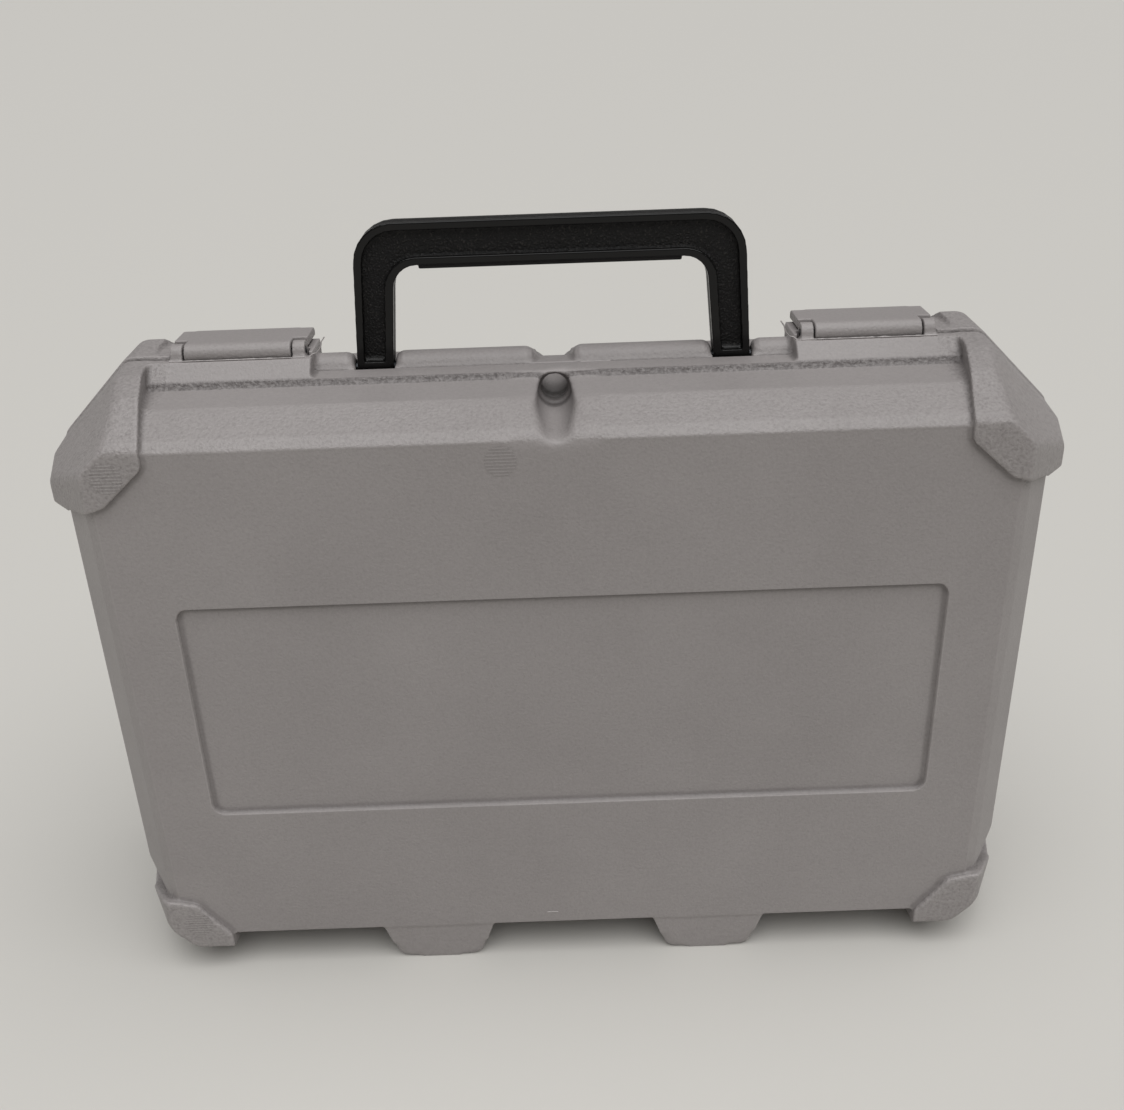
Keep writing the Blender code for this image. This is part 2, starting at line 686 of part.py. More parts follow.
def build_rear_shell():
    shell = shell_body("rear_shell", REAR)
    for label, hand in SIDES.items():
        join(shell, upper_bumper(f"rear_{label}", REAR, hand))
        join(shell, lower_bumper(f"rear_{label}", REAR, hand))
        join(shell, latch_seat(f"rear_{label}", REAR, hand))
    trim_seam("rear", shell, REAR)
    for label, hand in SIDES.items():
        front, left, right = hinge_spans(hand)
        for k, span in enumerate((left, right)):
            join(shell, rear_lug(f"{label}_{k}", *span))
            join(shell, rod_x(f"rear_barrel_{label}_{k}", *span, HINGE_AXIS, HINGE_BARREL, ROUND_SIDES))
        hinge_relief(f"rear_{label}", shell, REAR, front)
        bore_low = min(left[0], right[0]) - RIM_DEPTH
        bore_high = max(left[1], right[1]) + RIM_DEPTH
        outer_stop = REAR_LUG_WIDTH / 2
        if hand > 0:
            bore_high = right[1] - outer_stop
        else:
            bore_low = left[0] + outer_stop
        cut(shell, rod_x(f"rear_bore_{label}", bore_low, bore_high, HINGE_AXIS, HINGE_BORE, PIN_SIDES))
    for label, hand in SIDES.items():
        latch_well(f"rear_{label}", shell, latch_spans(hand)[0], LATCH_POST)
    handle_bosses(shell)
    for label, sizes in REAR_POCKETS.items():
        cut(shell, pocket(label, REAR, sizes))
    lock_eye("rear", shell, REAR)
    smooth(shell)
    return shell


def build_hinge_pin(label, hand):
    """A steel rod through one hinge, pushed in from the middle of the case."""
    _, left, right = hinge_spans(hand)
    low, high = left[0], right[1]
    stop = REAR_LUG_WIDTH / 2 + RUN_GAP
    if hand > 0:
        high -= stop
    else:
        low += stop
    pin = rod_x(f"hinge_pin_{label}", low, high, HINGE_AXIS, HINGE_PIN_RADIUS, PIN_SIDES, "pin_steel")
    round_edges(pin, HINGE_PIN_RADIUS / 4, 1)
    smooth(pin)
    return pin


def build_latch(label, hand):
    """A snap latch: a roll on the front shell's pin and a flap that lies over the seam, hollow below."""
    (low, high), _, barrel = latch_spans(hand)
    outer = LATCH_SEAT_DEPTH + LATCH_OVERHANG
    under = LATCH_TOP - LATCH_PLATE
    clear = LATCH_AXIS_Y + LATCH_BARREL + SIDE_GAP
    soft = LATCH_EDGE
    sweep = math.pi * 3 / 2 + math.asin((under - LATCH_AXIS_Z) / LATCH_BARREL)
    roll = []
    for k in range(ROUND_SIDES + 1):
        turn = math.pi / 2 + sweep * k / ROUND_SIDES
        y, z = LATCH_BARREL * math.cos(turn), LATCH_BARREL * math.sin(turn)
        roll.append((LATCH_AXIS_Y + y, LATCH_AXIS_Z + z))
    corners = roll + [(outer, under), (outer, LATCH_TOP)]
    section = rounded_outline(corners, [0] * len(roll) + [soft / 3, soft], EDGE_STEPS)
    latch = extrude_x(f"latch_{label}", section, *barrel, "case_grey")
    inset = RUN_GAP / 3
    top, foot, rear = LATCH_TOP - inset, under + inset, outer - inset
    corners = [(clear, top), (rear, top), (rear, foot), (clear, foot)]
    section = rounded_outline(corners, [0, soft, soft / 3, 0], EDGE_STEPS)
    overlap = LATCH_KNUCKLE / 2
    for k, span in enumerate(((low, barrel[0] + overlap), (barrel[1] - overlap, high))):
        join(latch, extrude_x(f"latch_wing_{label}_{k}", section, *span))
    hollow_low = (low + soft, clear + soft, under - LATCH_PLATE)
    hollow_high = (high - soft, outer - soft, LATCH_TOP - LATCH_SKIN)
    cut(latch, block(f"latch_hollow_{label}", hollow_low, hollow_high))
    bore = (low - SIDE_GAP, high + SIDE_GAP)
    cut(latch, rod_x(f"latch_pin_bore_{label}", *bore, LATCH_AXIS, LATCH_BORE, PIN_SIDES))
    smooth(latch)
    return latch


def build_latch_pin(label, hand):
    inner = hand * (LATCH_X - LATCH_WIDTH / 2)
    outer = hand * (LATCH_X + LATCH_WIDTH / 2 - SIDE_GAP - RUN_GAP)
    pin = rod_x(f"latch_pin_{label}", inner, outer, LATCH_AXIS, LATCH_PIN_RADIUS, PIN_SIDES, "pin_steel")
    smooth(pin)
    return pin


def handle_outline(inset, foot):
    """The handle's U shape in the XZ plane, drawn in by inset on every edge except the feet."""
    outer_foot, outer_top = HANDLE_HALF_FOOT - inset, HANDLE_HALF_TOP - inset
    inner_foot, inner_top = HANDLE_HALF_FOOT - HANDLE_ARM + inset, HANDLE_HALF_TOP - HANDLE_ARM + inset
    top, under = HANDLE_TOP - inset, HANDLE_TOP - HANDLE_BAR + inset
    corners = [
        (-outer_foot, foot),
        (-outer_top, top),
        (outer_top, top),
        (outer_foot, foot),
        (inner_foot, foot),
        (inner_top, under),
        (-inner_top, under),
        (-inner_foot, foot),
    ]
    outer_radius, inner_radius = HANDLE_OUTER_RADIUS - inset, HANDLE_INNER_RADIUS + inset
    radii = [0, outer_radius, outer_radius, 0, 0, inner_radius, inner_radius, 0]
    return rounded_outline(corners, radii, EDGE_STEPS * 2)


def build_handle():
    """A U of channel section: a rim all round with a sunk web on both faces, and an eye on each foot."""
    half = HANDLE_THICKNESS / 2
    front, rear = HANDLE_AXIS_Y - half, HANDLE_AXIS_Y + half
    outline = handle_outline(0, HANDLE_AXIS_Z)
    handle = loft("handle", [(front, outline), (rear, outline)], "handle_black")
    sunk = handle_outline(HANDLE_RIM, HANDLE_AXIS_Z + HANDLE_CHANNEL_FOOT)
    for label, face, depth in (("front", front, HANDLE_CHANNEL), ("rear", rear, -HANDLE_CHANNEL)):
        cut(handle, loft(f"handle_channel_{label}", [(face - depth, sunk), (face + depth, sunk)]))
    rib_top = HANDLE_TOP - HANDLE_BAR + HANDLE_RIM / 2
    rib_low = (-GRIP_HALF_WIDTH, front + RIM_STEP_RUN, HANDLE_TOP - HANDLE_BAR - GRIP_DROP)
    rib_high = (GRIP_HALF_WIDTH, rear - RIM_STEP_RUN, rib_top)
    join(handle, block("grip_rib", rib_low, rib_high))
    for label, hand in SIDES.items():
        outer = hand * (HANDLE_HALF_FOOT - RUN_GAP)
        inner = hand * (HANDLE_HALF_FOOT - HANDLE_ARM + RUN_GAP)
        join(handle, rod_x(f"handle_eye_{label}", outer, inner, HANDLE_AXIS, HANDLE_EYE, ROUND_SIDES))
        bore = (outer + hand * HANDLE_ARM, inner - hand * HANDLE_ARM)
        cut(handle, rod_x(f"handle_eye_bore_{label}", *bore, HANDLE_AXIS, HANDLE_BORE, PIN_SIDES))
    smooth(handle)
    return handle


def build_handle_pin(label, hand):
    inner = hand * (HANDLE_HALF_FOOT - HANDLE_ARM * 2 - SIDE_GAP + RUN_GAP)
    outer = hand * (HANDLE_HALF_FOOT + HANDLE_PIN_REACH)
    pin = rod_x(f"handle_pin_{label}", inner, outer, HANDLE_AXIS, HANDLE_PIN_RADIUS, PIN_SIDES, "pin_steel")
    smooth(pin)
    return pin


build_front_shell()
build_rear_shell()
build_handle()
for side_name, side_sign in SIDES.items():
    build_hinge_pin(side_name, side_sign)
    build_latch(side_name, side_sign)
    build_latch_pin(side_name, side_sign)
    build_handle_pin(side_name, side_sign)
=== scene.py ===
# %% [markdown]
# # A blow-moulded tool case, dressed from its CAD frame
#
# The imported solids say where each piece is and how it moves. This lesson adds what they leave out: soft
# moulded edges, grained plastic, a ragged ledge, rubbed edges, dust with painted shade in grooves, painted
# highlight and shade on the grain, and the small marks that a mould leaves. Lengths are in metres. The case
# stands on its hinge edge: X runs along it, Y from the front shell to the rear one, Z up.

# %% Load the frame
import json
import math

import bmesh
import bpy
from mathutils import Euler, Matrix, Vector


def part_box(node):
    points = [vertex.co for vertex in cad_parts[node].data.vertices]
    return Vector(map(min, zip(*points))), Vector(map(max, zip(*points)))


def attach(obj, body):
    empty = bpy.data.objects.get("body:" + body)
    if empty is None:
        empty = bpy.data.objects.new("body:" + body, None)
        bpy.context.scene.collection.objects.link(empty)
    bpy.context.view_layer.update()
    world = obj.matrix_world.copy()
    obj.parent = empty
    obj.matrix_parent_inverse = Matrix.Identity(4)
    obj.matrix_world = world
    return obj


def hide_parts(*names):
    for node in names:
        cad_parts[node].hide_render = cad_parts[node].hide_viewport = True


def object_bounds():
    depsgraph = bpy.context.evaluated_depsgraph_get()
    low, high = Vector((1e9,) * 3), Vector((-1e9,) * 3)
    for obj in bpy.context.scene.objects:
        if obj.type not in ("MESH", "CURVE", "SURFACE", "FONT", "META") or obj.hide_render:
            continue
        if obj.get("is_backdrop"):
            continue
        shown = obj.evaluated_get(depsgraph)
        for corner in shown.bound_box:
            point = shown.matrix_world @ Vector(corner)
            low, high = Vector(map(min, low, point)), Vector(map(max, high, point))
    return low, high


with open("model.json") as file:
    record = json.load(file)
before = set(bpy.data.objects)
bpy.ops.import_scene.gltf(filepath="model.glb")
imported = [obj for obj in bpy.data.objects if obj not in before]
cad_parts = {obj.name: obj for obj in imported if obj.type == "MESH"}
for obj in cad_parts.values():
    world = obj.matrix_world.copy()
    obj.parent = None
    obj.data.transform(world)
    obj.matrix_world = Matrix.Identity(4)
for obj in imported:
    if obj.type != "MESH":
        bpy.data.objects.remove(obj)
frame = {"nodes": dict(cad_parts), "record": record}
cad_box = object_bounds()
scene = bpy.context.scene
MM = 0.001
print("solids:", ", ".join(frame["nodes"]))

# %% [markdown]
# ## Camera
#
# The photograph was taken by hand from close by, looking down on the case, with a slight tilt to one side. A
# camera can be aimed by eye or solved from corners that are known in the solids and in the picture. Solving
# was chosen, because then the render lies on the photograph. It gives the focal length in pixels, which
# becomes a lens in millimetres through the width of the sensor.

# %% Place the camera
IMAGE_WIDTH = 1124
FOCAL_PIXELS = 1200
SENSOR_WIDTH = 36.0
NEAREST = 10 * MM
CAMERA_PITCH = math.radians(25.95)
CAMERA_ROLL = math.radians(-2.02)
CAMERA_PLACE = Vector((0.0005, -0.390, 0.3362))


def add_object(name, data):
    """A new object in the scene."""
    obj = bpy.data.objects.new(name, data)
    scene.collection.objects.link(obj)
    return obj


def place_camera():
    lens = bpy.data.cameras.new("photo_camera")
    lens.sensor_width = SENSOR_WIDTH
    lens.lens = SENSOR_WIDTH * FOCAL_PIXELS / IMAGE_WIDTH
    lens.clip_start = NEAREST
    camera = add_object("photo_camera", lens)
    downwards = Euler((math.pi / 2 - CAMERA_PITCH, 0, 0)).to_matrix()
    tilted = downwards @ Matrix.Rotation(CAMERA_ROLL, 3, "Z")
    camera.matrix_world = Matrix.Translation(CAMERA_PLACE) @ tilted.to_4x4()
    scene.camera = camera
    return camera


print(f"lens {place_camera().data.lens:.1f} mm, {CAMERA_PLACE.length:.2f} m from the case's foot")

# %% [markdown]
# ## Writing node trees
#
# Materials and Geometry Nodes are both trees of nodes. One small function adds any node: it sets the node's
# own properties, and gives each input socket either a value or a link from another node. Every tree below is
# then a list of such calls, read from the first step to the last.

# %% One function for any node


def add_node(tree, kind, inputs=None, **settings):
    """Adds a node. inputs maps a socket's name or number to a value, or to the output that it takes."""
    node = tree.nodes.new(kind)
    for name, value in settings.items():
        setattr(node, name, value)
    for socket, value in (inputs or {}).items():
        if isinstance(value, bpy.types.NodeSocket):
            tree.links.new(value, node.inputs[socket])
        else:
            node.inputs[socket].default_value = value
    return node


print("node helper ready")

# %% [markdown]
# ## From a tree to a plain mesh
#
# A Geometry Nodes tree works as a modifier, and its inputs are set through their identifiers. Exported models
# can't carry such a tree, so each result is turned into a plain mesh, and the helper that held the modifier
# goes away.

# %% Start a tree, use it, keep its result


def geometry_tree(name, sockets):
    """An empty Geometry Nodes tree with named inputs, its input node, and each input's identifier."""
    tree = bpy.data.node_groups.new(name, "GeometryNodeTree")
    tree.interface.new_socket("Geometry", in_out="OUTPUT", socket_type="NodeSocketGeometry")
    identifiers = {}
    for label, kind in sockets.items():
        identifiers[label] = tree.interface.new_socket(label, in_out="INPUT", socket_type=kind).identifier
    return tree, tree.nodes.new("NodeGroupInput").outputs, identifiers


def add_tree(obj, tree, identifiers, values):
    """Puts a Geometry Nodes tree on an object, with the values of its inputs."""
    modifier = obj.modifiers.new(tree.name, "NODES")
    modifier.node_group = tree
    for label, value in values.items():
        modifier[identifiers[label]] = value


def plain_mesh(obj):
    """The mesh that an object's modifiers make."""
    return bpy.data.meshes.new_from_object(obj.evaluated_get(bpy.context.evaluated_depsgraph_get()))


print("tree helpers ready")

# %% [markdown]
# ## The ragged ledge
#
# Along the top of both shells a small ledge runs beside the rim. On the real case its edge is torn and
# grainy, because the soft plastic was dragged over the mould there. A picture of grain would stay flat when
# the case turns, so the surface itself is pushed in and out: only points near the ledge move, by a noise
# whose lumps have the size of the real ones.

# %% A tree that roughens the ledge
NOISE_SPAN = {"From Min": 0.3, "From Max": 0.7}  # where most of a noise's values lie
FALLING = {"To Min": 1.0, "To Max": 0.0}
LEDGE_SIZES = {
    "From seam": 10.1 * MM,
    "Band": 1.25 * MM,
    "Height": 217.5 * MM,
    "Rise": 1.8 * MM,
    "Half length": 138.0 * MM,
    "Lump": 0.8 * MM,
    "Roughness": 0.24 * MM,
}


def ledge_tree():
    sockets = {"Geometry": "NodeSocketGeometry"} | dict.fromkeys(LEDGE_SIZES, "NodeSocketFloat")
    tree, given, identifiers = geometry_tree("ragged_ledge", sockets)
    place = add_node(tree, "GeometryNodeInputPosition").outputs[0]
    parts = add_node(tree, "ShaderNodeSeparateXYZ", {0: place}).outputs
    depth = add_node(tree, "ShaderNodeMath", {0: parts["Y"]}, operation="ABSOLUTE").outputs[0]
    ends = {0: depth, 1: given["From seam"]}
    off = add_node(tree, "ShaderNodeMath", ends, operation="SUBTRACT").outputs[0]
    away = add_node(tree, "ShaderNodeMath", {0: off}, operation="ABSOLUTE").outputs[0]
    share = add_node(tree, "ShaderNodeMath", {0: away, 1: given["Band"]}, operation="DIVIDE").outputs[0]
    near = add_node(tree, "ShaderNodeMapRange", {"Value": share} | FALLING).outputs[0]
    level = {0: parts["Z"], 1: given["Height"], 2: given["Rise"]}
    level = add_node(tree, "ShaderNodeMath", level, operation="COMPARE").outputs[0]
    between = {0: parts["X"], 1: 0.0, 2: given["Half length"]}
    between = add_node(tree, "ShaderNodeMath", between, operation="COMPARE").outputs[0]
    mask = add_node(tree, "ShaderNodeMath", {0: near, 1: level}, operation="MULTIPLY").outputs[0]
    mask = add_node(tree, "ShaderNodeMath", {0: mask, 1: between}, operation="MULTIPLY").outputs[0]
    scale = add_node(tree, "ShaderNodeMath", {0: 1.0, 1: given["Lump"]}, operation="DIVIDE").outputs[0]
    lumps = add_node(tree, "ShaderNodeTexNoise", {"Vector": place, "Scale": scale, "Detail": 2.0})
    swing = {"Value": lumps.outputs[0], "To Min": -1.0, "To Max": 1.0}
    push = add_node(tree, "ShaderNodeMapRange", swing | NOISE_SPAN).outputs[0]
    push = add_node(tree, "ShaderNodeMath", {0: push, 1: mask}, operation="MULTIPLY").outputs[0]
    depths = {0: push, 1: given["Roughness"]}
    push = add_node(tree, "ShaderNodeMath", depths, operation="MULTIPLY").outputs[0]
    normal = add_node(tree, "GeometryNodeInputNormal").outputs[0]
    shift = {0: normal, "Scale": push}
    shift = add_node(tree, "ShaderNodeVectorMath", shift, operation="SCALE").outputs[0]
    moved = add_node(tree, "GeometryNodeSetPosition", {"Geometry": given["Geometry"], "Offset": shift})
    add_node(tree, "NodeGroupOutput", {0: moved.outputs[0]})
    return tree, identifiers


LEDGE = ledge_tree()
print(f"{LEDGE[0].name}: {len(LEDGE[0].nodes)} nodes")

# %% [markdown]
# ## Softer places
#
# In two kinds of place the hot plastic could not follow the mould closely: the scoop that leads to the
# padlock hole, and the corners of the broad hinge lugs. Their edges are rounder than elsewhere. A bevel would
# need those edges picked out one by one. Here a tree averages each point with its neighbours, but only within
# a circle round a given place, seen from the front, and fully only at its middle. The place counts on both
# sides of the case, and the strip along the seam is left alone.

# %% A tree that rounds a place
SOFT_CORE = 0.6  # the share of the circle's radius that is fully rounded
SOFT_EDGE = 2.0 * MM
FROM_SEAM = 8.5 * MM
LUG_MIDDLE, LUG_HALF = 50.6 * MM, 15.0 * MM
SCOOP_SIZES = {"Along": 0.0, "Height": 212.0 * MM, "Circle": 16.0 * MM, "From seam": FROM_SEAM}
LUG_SIZES = {"Height": 0.0, "Circle": 8.0 * MM, "From seam": FROM_SEAM}
SOFT_PLACES = [
    SCOOP_SIZES | {"Rounds": 40},
    LUG_SIZES | {"Along": LUG_MIDDLE - LUG_HALF, "Rounds": 20},
    LUG_SIZES | {"Along": LUG_MIDDLE + LUG_HALF, "Rounds": 20},
]


def soft_tree():
    sockets = {"Geometry": "NodeSocketGeometry"} | dict.fromkeys(SCOOP_SIZES, "NodeSocketFloat")
    tree, given, identifiers = geometry_tree("soft_place", sockets | {"Rounds": "NodeSocketInt"})
    place = add_node(tree, "GeometryNodeInputPosition").outputs[0]
    parts = add_node(tree, "ShaderNodeSeparateXYZ", {0: place}).outputs
    sideways = add_node(tree, "ShaderNodeMath", {0: parts["X"]}, operation="ABSOLUTE").outputs[0]
    here = add_node(tree, "ShaderNodeCombineXYZ", {"X": sideways, "Z": parts["Z"]}).outputs[0]
    middle = {"X": given["Along"], "Z": given["Height"]}
    middle = add_node(tree, "ShaderNodeCombineXYZ", middle).outputs[0]
    away = add_node(tree, "ShaderNodeVectorMath", {0: here, 1: middle}, operation="DISTANCE")
    share = {0: away.outputs["Value"], 1: given["Circle"]}
    share = add_node(tree, "ShaderNodeMath", share, operation="DIVIDE").outputs[0]
    edges = {"Value": share, "From Min": SOFT_CORE}
    inside = add_node(tree, "ShaderNodeMapRange", edges | FALLING).outputs[0]
    depth = add_node(tree, "ShaderNodeMath", {0: parts["Y"]}, operation="ABSOLUTE").outputs[0]
    clear = {0: depth, 1: given["From seam"]}
    clear = add_node(tree, "ShaderNodeMath", clear, operation="SUBTRACT").outputs[0]
    outer = add_node(tree, "ShaderNodeMapRange", {"Value": clear, "From Max": SOFT_EDGE}).outputs[0]
    weight = add_node(tree, "ShaderNodeMath", {0: inside, 1: outer}, operation="MULTIPLY").outputs[0]
    around = {"Value": place, "Iterations": given["Rounds"], "Weight": weight}
    average = add_node(tree, "GeometryNodeBlurAttribute", around, data_type="FLOAT_VECTOR").outputs[0]
    rounded = {"Geometry": given["Geometry"], "Position": average}
    moved = add_node(tree, "GeometryNodeSetPosition", rounded)
    add_node(tree, "NodeGroupOutput", {0: moved.outputs[0]})
    return tree, identifiers


SOFT = soft_tree()
print(f"{SOFT[0].name}: {len(SOFT[0].nodes)} nodes, used on {len(SOFT_PLACES)} places")

# %% [markdown]
# ## Which edges stand out
#
# Handling rubs the outward edges pale, and dust stays in the inward ones, which also get painted shade. The
# finish needs to know which is which. One could paint that by hand. Here each point is compared with the
# average of the points round it: on an outward edge it lies outside that average, in a groove inside it. The
# distance is stored as an attribute, which the material reads.

# %% A tree that measures the bend
BEND_REACH = 5


def bend_tree():
    sockets = {"Geometry": "NodeSocketGeometry", "Reach": "NodeSocketInt"}
    tree, given, identifiers = geometry_tree("edge_bend", sockets)
    place = add_node(tree, "GeometryNodeInputPosition").outputs[0]
    around = {"Value": place, "Iterations": given["Reach"]}
    average = add_node(tree, "GeometryNodeBlurAttribute", around, data_type="FLOAT_VECTOR").outputs[0]
    out = add_node(tree, "ShaderNodeVectorMath", {0: place, 1: average}, operation="SUBTRACT").outputs[0]
    normal = add_node(tree, "GeometryNodeInputNormal").outputs[0]
    bend = add_node(tree, "ShaderNodeVectorMath", {0: out, 1: normal}, operation="DOT_PRODUCT")
    stored = {"Geometry": given["Geometry"], "Name": "bend", "Value": bend.outputs["Value"]}
    kept = add_node(tree, "GeometryNodeStoreNamedAttribute", stored, data_type="FLOAT", domain="POINT")
    add_node(tree, "NodeGroupOutput", {0: kept.outputs[0]})
    return tree, identifiers


BEND = bend_tree()
print(f"{BEND[0].name}: {len(BEND[0].nodes)} nodes")

# %% [markdown]
# ## Softened copies of the solids
#
# A blow-moulded wall has no sharp edge, because hot plastic is stretched against the mould. Bevels on
# hundreds of edges would be slow to set and would miss some. So each solid is copied, welded, turned into
# even voxels, relaxed a little, and thinned out again where it is flat. The shells also get their softer
# places and their ragged ledge on the way, and are drawn in by the height of the marks that stand on them, so
# that the whole keeps its size.

# %% Soften one solid
WELD = 0.01 * MM


def welded(node):
    """A helper object with a copy of a solid, whose loose triangles are merged."""
    shape = bmesh.new()
    shape.from_mesh(frame["nodes"][node].data)
    bmesh.ops.remove_doubles(shape, verts=shape.verts, dist=WELD)
    mesh = bpy.data.meshes.new(f"{node}_welded")
    shape.to_mesh(mesh)
    shape.free()
    return add_object(f"{node}_helper", mesh)


def softened(node, voxel, smoothing, triangles, sunk):
    """A soft copy of a solid. sunk draws a shell's skin in, and is zero for the other pieces."""
    helper = welded(node)
    voxels = helper.modifiers.new("even_voxels", "REMESH")
    voxels.mode = "VOXEL"
    voxels.voxel_size = voxel
    relax = helper.modifiers.new("relax", "SMOOTH")
    relax.iterations = smoothing
    if sunk:
        room = helper.modifiers.new("room_for_marks", "DISPLACE")
        room.mid_level = 0.0
        room.strength = -sunk
        for values in SOFT_PLACES:
            add_tree(helper, *SOFT, values)
        add_tree(helper, *LEDGE, LEDGE_SIZES)
    dense = plain_mesh(helper)
    helper.modifiers.clear()
    helper.data = dense
    thin = helper.modifiers.new("thin_out", "DECIMATE")
    thin.ratio = min(1.0, triangles / sum(len(face.vertices) - 2 for face in dense.polygons))
    add_tree(helper, *BEND, {"Reach": BEND_REACH})
    mesh = plain_mesh(helper)
    bpy.data.objects.remove(helper, do_unlink=True)
    mesh.materials.clear()
    mesh.shade_smooth()
    return add_object(f"{node}_soft", mesh)


print("softening ready")

# %% [markdown]
# ## Colours
#
# Colours are picked from pictures as sRGB hex values, while Blender's shaders count light, which is linear.
# One function turns the one into the other, and another starts each material.

# %% From hex to linear, and a new material


def hex_colour(code):
    """The linear RGBA of an sRGB hex colour."""
    parts = [int(code[i : i + 2], 16) / 255 for i in (1, 3, 5)]
    return (*(c / 12.92 if c <= 0.04045 else ((c + 0.055) / 1.055) ** 2.4 for c in parts), 1.0)


def new_material(name):
    """A material, its node tree, and the shader in it."""
    material = bpy.data.materials.new(name)
    material.use_nodes = True
    return material, material.node_tree, material.node_tree.nodes["Principled BSDF"]


print("middle grey:", [round(part, 3) for part in hex_colour("#808080")])

# %% [markdown]
# ## Grey polyethylene, blow-moulded: where it is pebbled
#
# High-density polyethylene is waxy and half matt. It was coloured right through and took its grain from the
# etched mould: pebbled on the corner guards, the ledge and the upper slope, fine on the flat face.
# Photographs of grain would stretch over the corners, so noise in the object's own space is used, and masks
# by place choose the coarser grain.

# %% Masks for the grain
GUARD_INNER_X = 127.5 * MM
UPPER_GUARD_FOOT = 186.0 * MM
LOWER_GUARD_HEAD = 33.0 * MM
FACE_DEPTH = 45.0 * MM
FACE_EDGE = {"From Min": 0.3 * MM, "From Max": 0.9 * MM}
SLOPE_FOOT, SLOPE_INNER = 207.5 * MM, 28.0 * MM
MASK_EDGE = 2.0 * MM
SLOPE_GRAIN = 0.7  # how much of the pebbled grain the upper slope shows
FACE_GRAIN = 0.32  # how much of it the flat face shows


def ledge_mask(tree, parts, depth):
    """1 on the ledge."""
    off = {0: depth, 1: LEDGE_SIZES["From seam"]}
    off = add_node(tree, "ShaderNodeMath", off, operation="SUBTRACT").outputs[0]
    away = add_node(tree, "ShaderNodeMath", {0: off}, operation="ABSOLUTE").outputs[0]
    edges = {"Value": away, "From Min": LEDGE_SIZES["Band"] / 2, "From Max": LEDGE_SIZES["Band"]}
    beside_seam = add_node(tree, "ShaderNodeMapRange", edges | FALLING).outputs[0]
    level = {0: parts["Z"], 1: LEDGE_SIZES["Height"], 2: LEDGE_SIZES["Rise"]}
    level = add_node(tree, "ShaderNodeMath", level, operation="COMPARE").outputs[0]
    ledge = add_node(tree, "ShaderNodeMath", {0: beside_seam, 1: level}, operation="MULTIPLY").outputs[0]
    between = {0: parts["X"], 1: 0.0, 2: LEDGE_SIZES["Half length"]}
    between = add_node(tree, "ShaderNodeMath", between, operation="COMPARE").outputs[0]
    return add_node(tree, "ShaderNodeMath", {0: ledge, 1: between}, operation="MULTIPLY").outputs[0]


def guard_mask(tree, parts, depth):
    """1 on the corner guards."""
    sideways = add_node(tree, "ShaderNodeMath", {0: parts["X"]}, operation="ABSOLUTE").outputs[0]
    edges = {"Value": sideways, "From Min": GUARD_INNER_X - MASK_EDGE, "From Max": GUARD_INNER_X}
    beside = add_node(tree, "ShaderNodeMapRange", edges).outputs[0]
    edges = {"From Min": UPPER_GUARD_FOOT - MASK_EDGE, "From Max": UPPER_GUARD_FOOT}
    high = add_node(tree, "ShaderNodeMapRange", {"Value": parts["Z"]} | edges).outputs[0]
    edges = {"From Min": LOWER_GUARD_HEAD, "From Max": LOWER_GUARD_HEAD + MASK_EDGE}
    low = add_node(tree, "ShaderNodeMapRange", {"Value": parts["Z"]} | edges | FALLING).outputs[0]
    ends = add_node(tree, "ShaderNodeMath", {0: high, 1: low}, operation="MAXIMUM").outputs[0]
    guard = add_node(tree, "ShaderNodeMath", {0: beside, 1: ends}, operation="MULTIPLY").outputs[0]
    off = add_node(tree, "ShaderNodeMath", {0: depth, 1: FACE_DEPTH}, operation="SUBTRACT").outputs[0]
    away = add_node(tree, "ShaderNodeMath", {0: off}, operation="ABSOLUTE").outputs[0]
    off_face = add_node(tree, "ShaderNodeMapRange", {"Value": away} | FACE_EDGE).outputs[0]
    return add_node(tree, "ShaderNodeMath", {0: guard, 1: off_face}, operation="MULTIPLY").outputs[0]


def slope_mask(tree, parts, depth):
    """SLOPE_GRAIN on the upper slope."""
    edges = {"From Min": SLOPE_FOOT - MASK_EDGE, "From Max": SLOPE_FOOT, "To Max": SLOPE_GRAIN}
    slope = add_node(tree, "ShaderNodeMapRange", {"Value": parts["Z"]} | edges).outputs[0]
    edges = {"From Min": SLOPE_INNER - 2 * MASK_EDGE, "From Max": SLOPE_INNER + 2 * MASK_EDGE}
    outer = add_node(tree, "ShaderNodeMapRange", {"Value": depth} | edges).outputs[0]
    return add_node(tree, "ShaderNodeMath", {0: slope, 1: outer}, operation="MULTIPLY").outputs[0]


def grain_masks(tree, place):
    """How much of the pebbled grain each place shows, and the ledge by itself."""
    parts = add_node(tree, "ShaderNodeSeparateXYZ", {0: place}).outputs
    depth = add_node(tree, "ShaderNodeMath", {0: parts["Y"]}, operation="ABSOLUTE").outputs[0]
    ledge = ledge_mask(tree, parts, depth)
    pebbled = FACE_GRAIN
    for mask in (guard_mask(tree, parts, depth), slope_mask(tree, parts, depth), ledge):
        pebbled = add_node(tree, "ShaderNodeMath", {0: mask, 1: pebbled}, operation="MAXIMUM").outputs[0]
    return pebbled, ledge


print(f"masks for guards above {UPPER_GUARD_FOOT / MM:.0f} mm and below {LOWER_GUARD_HEAD / MM:.0f} mm")
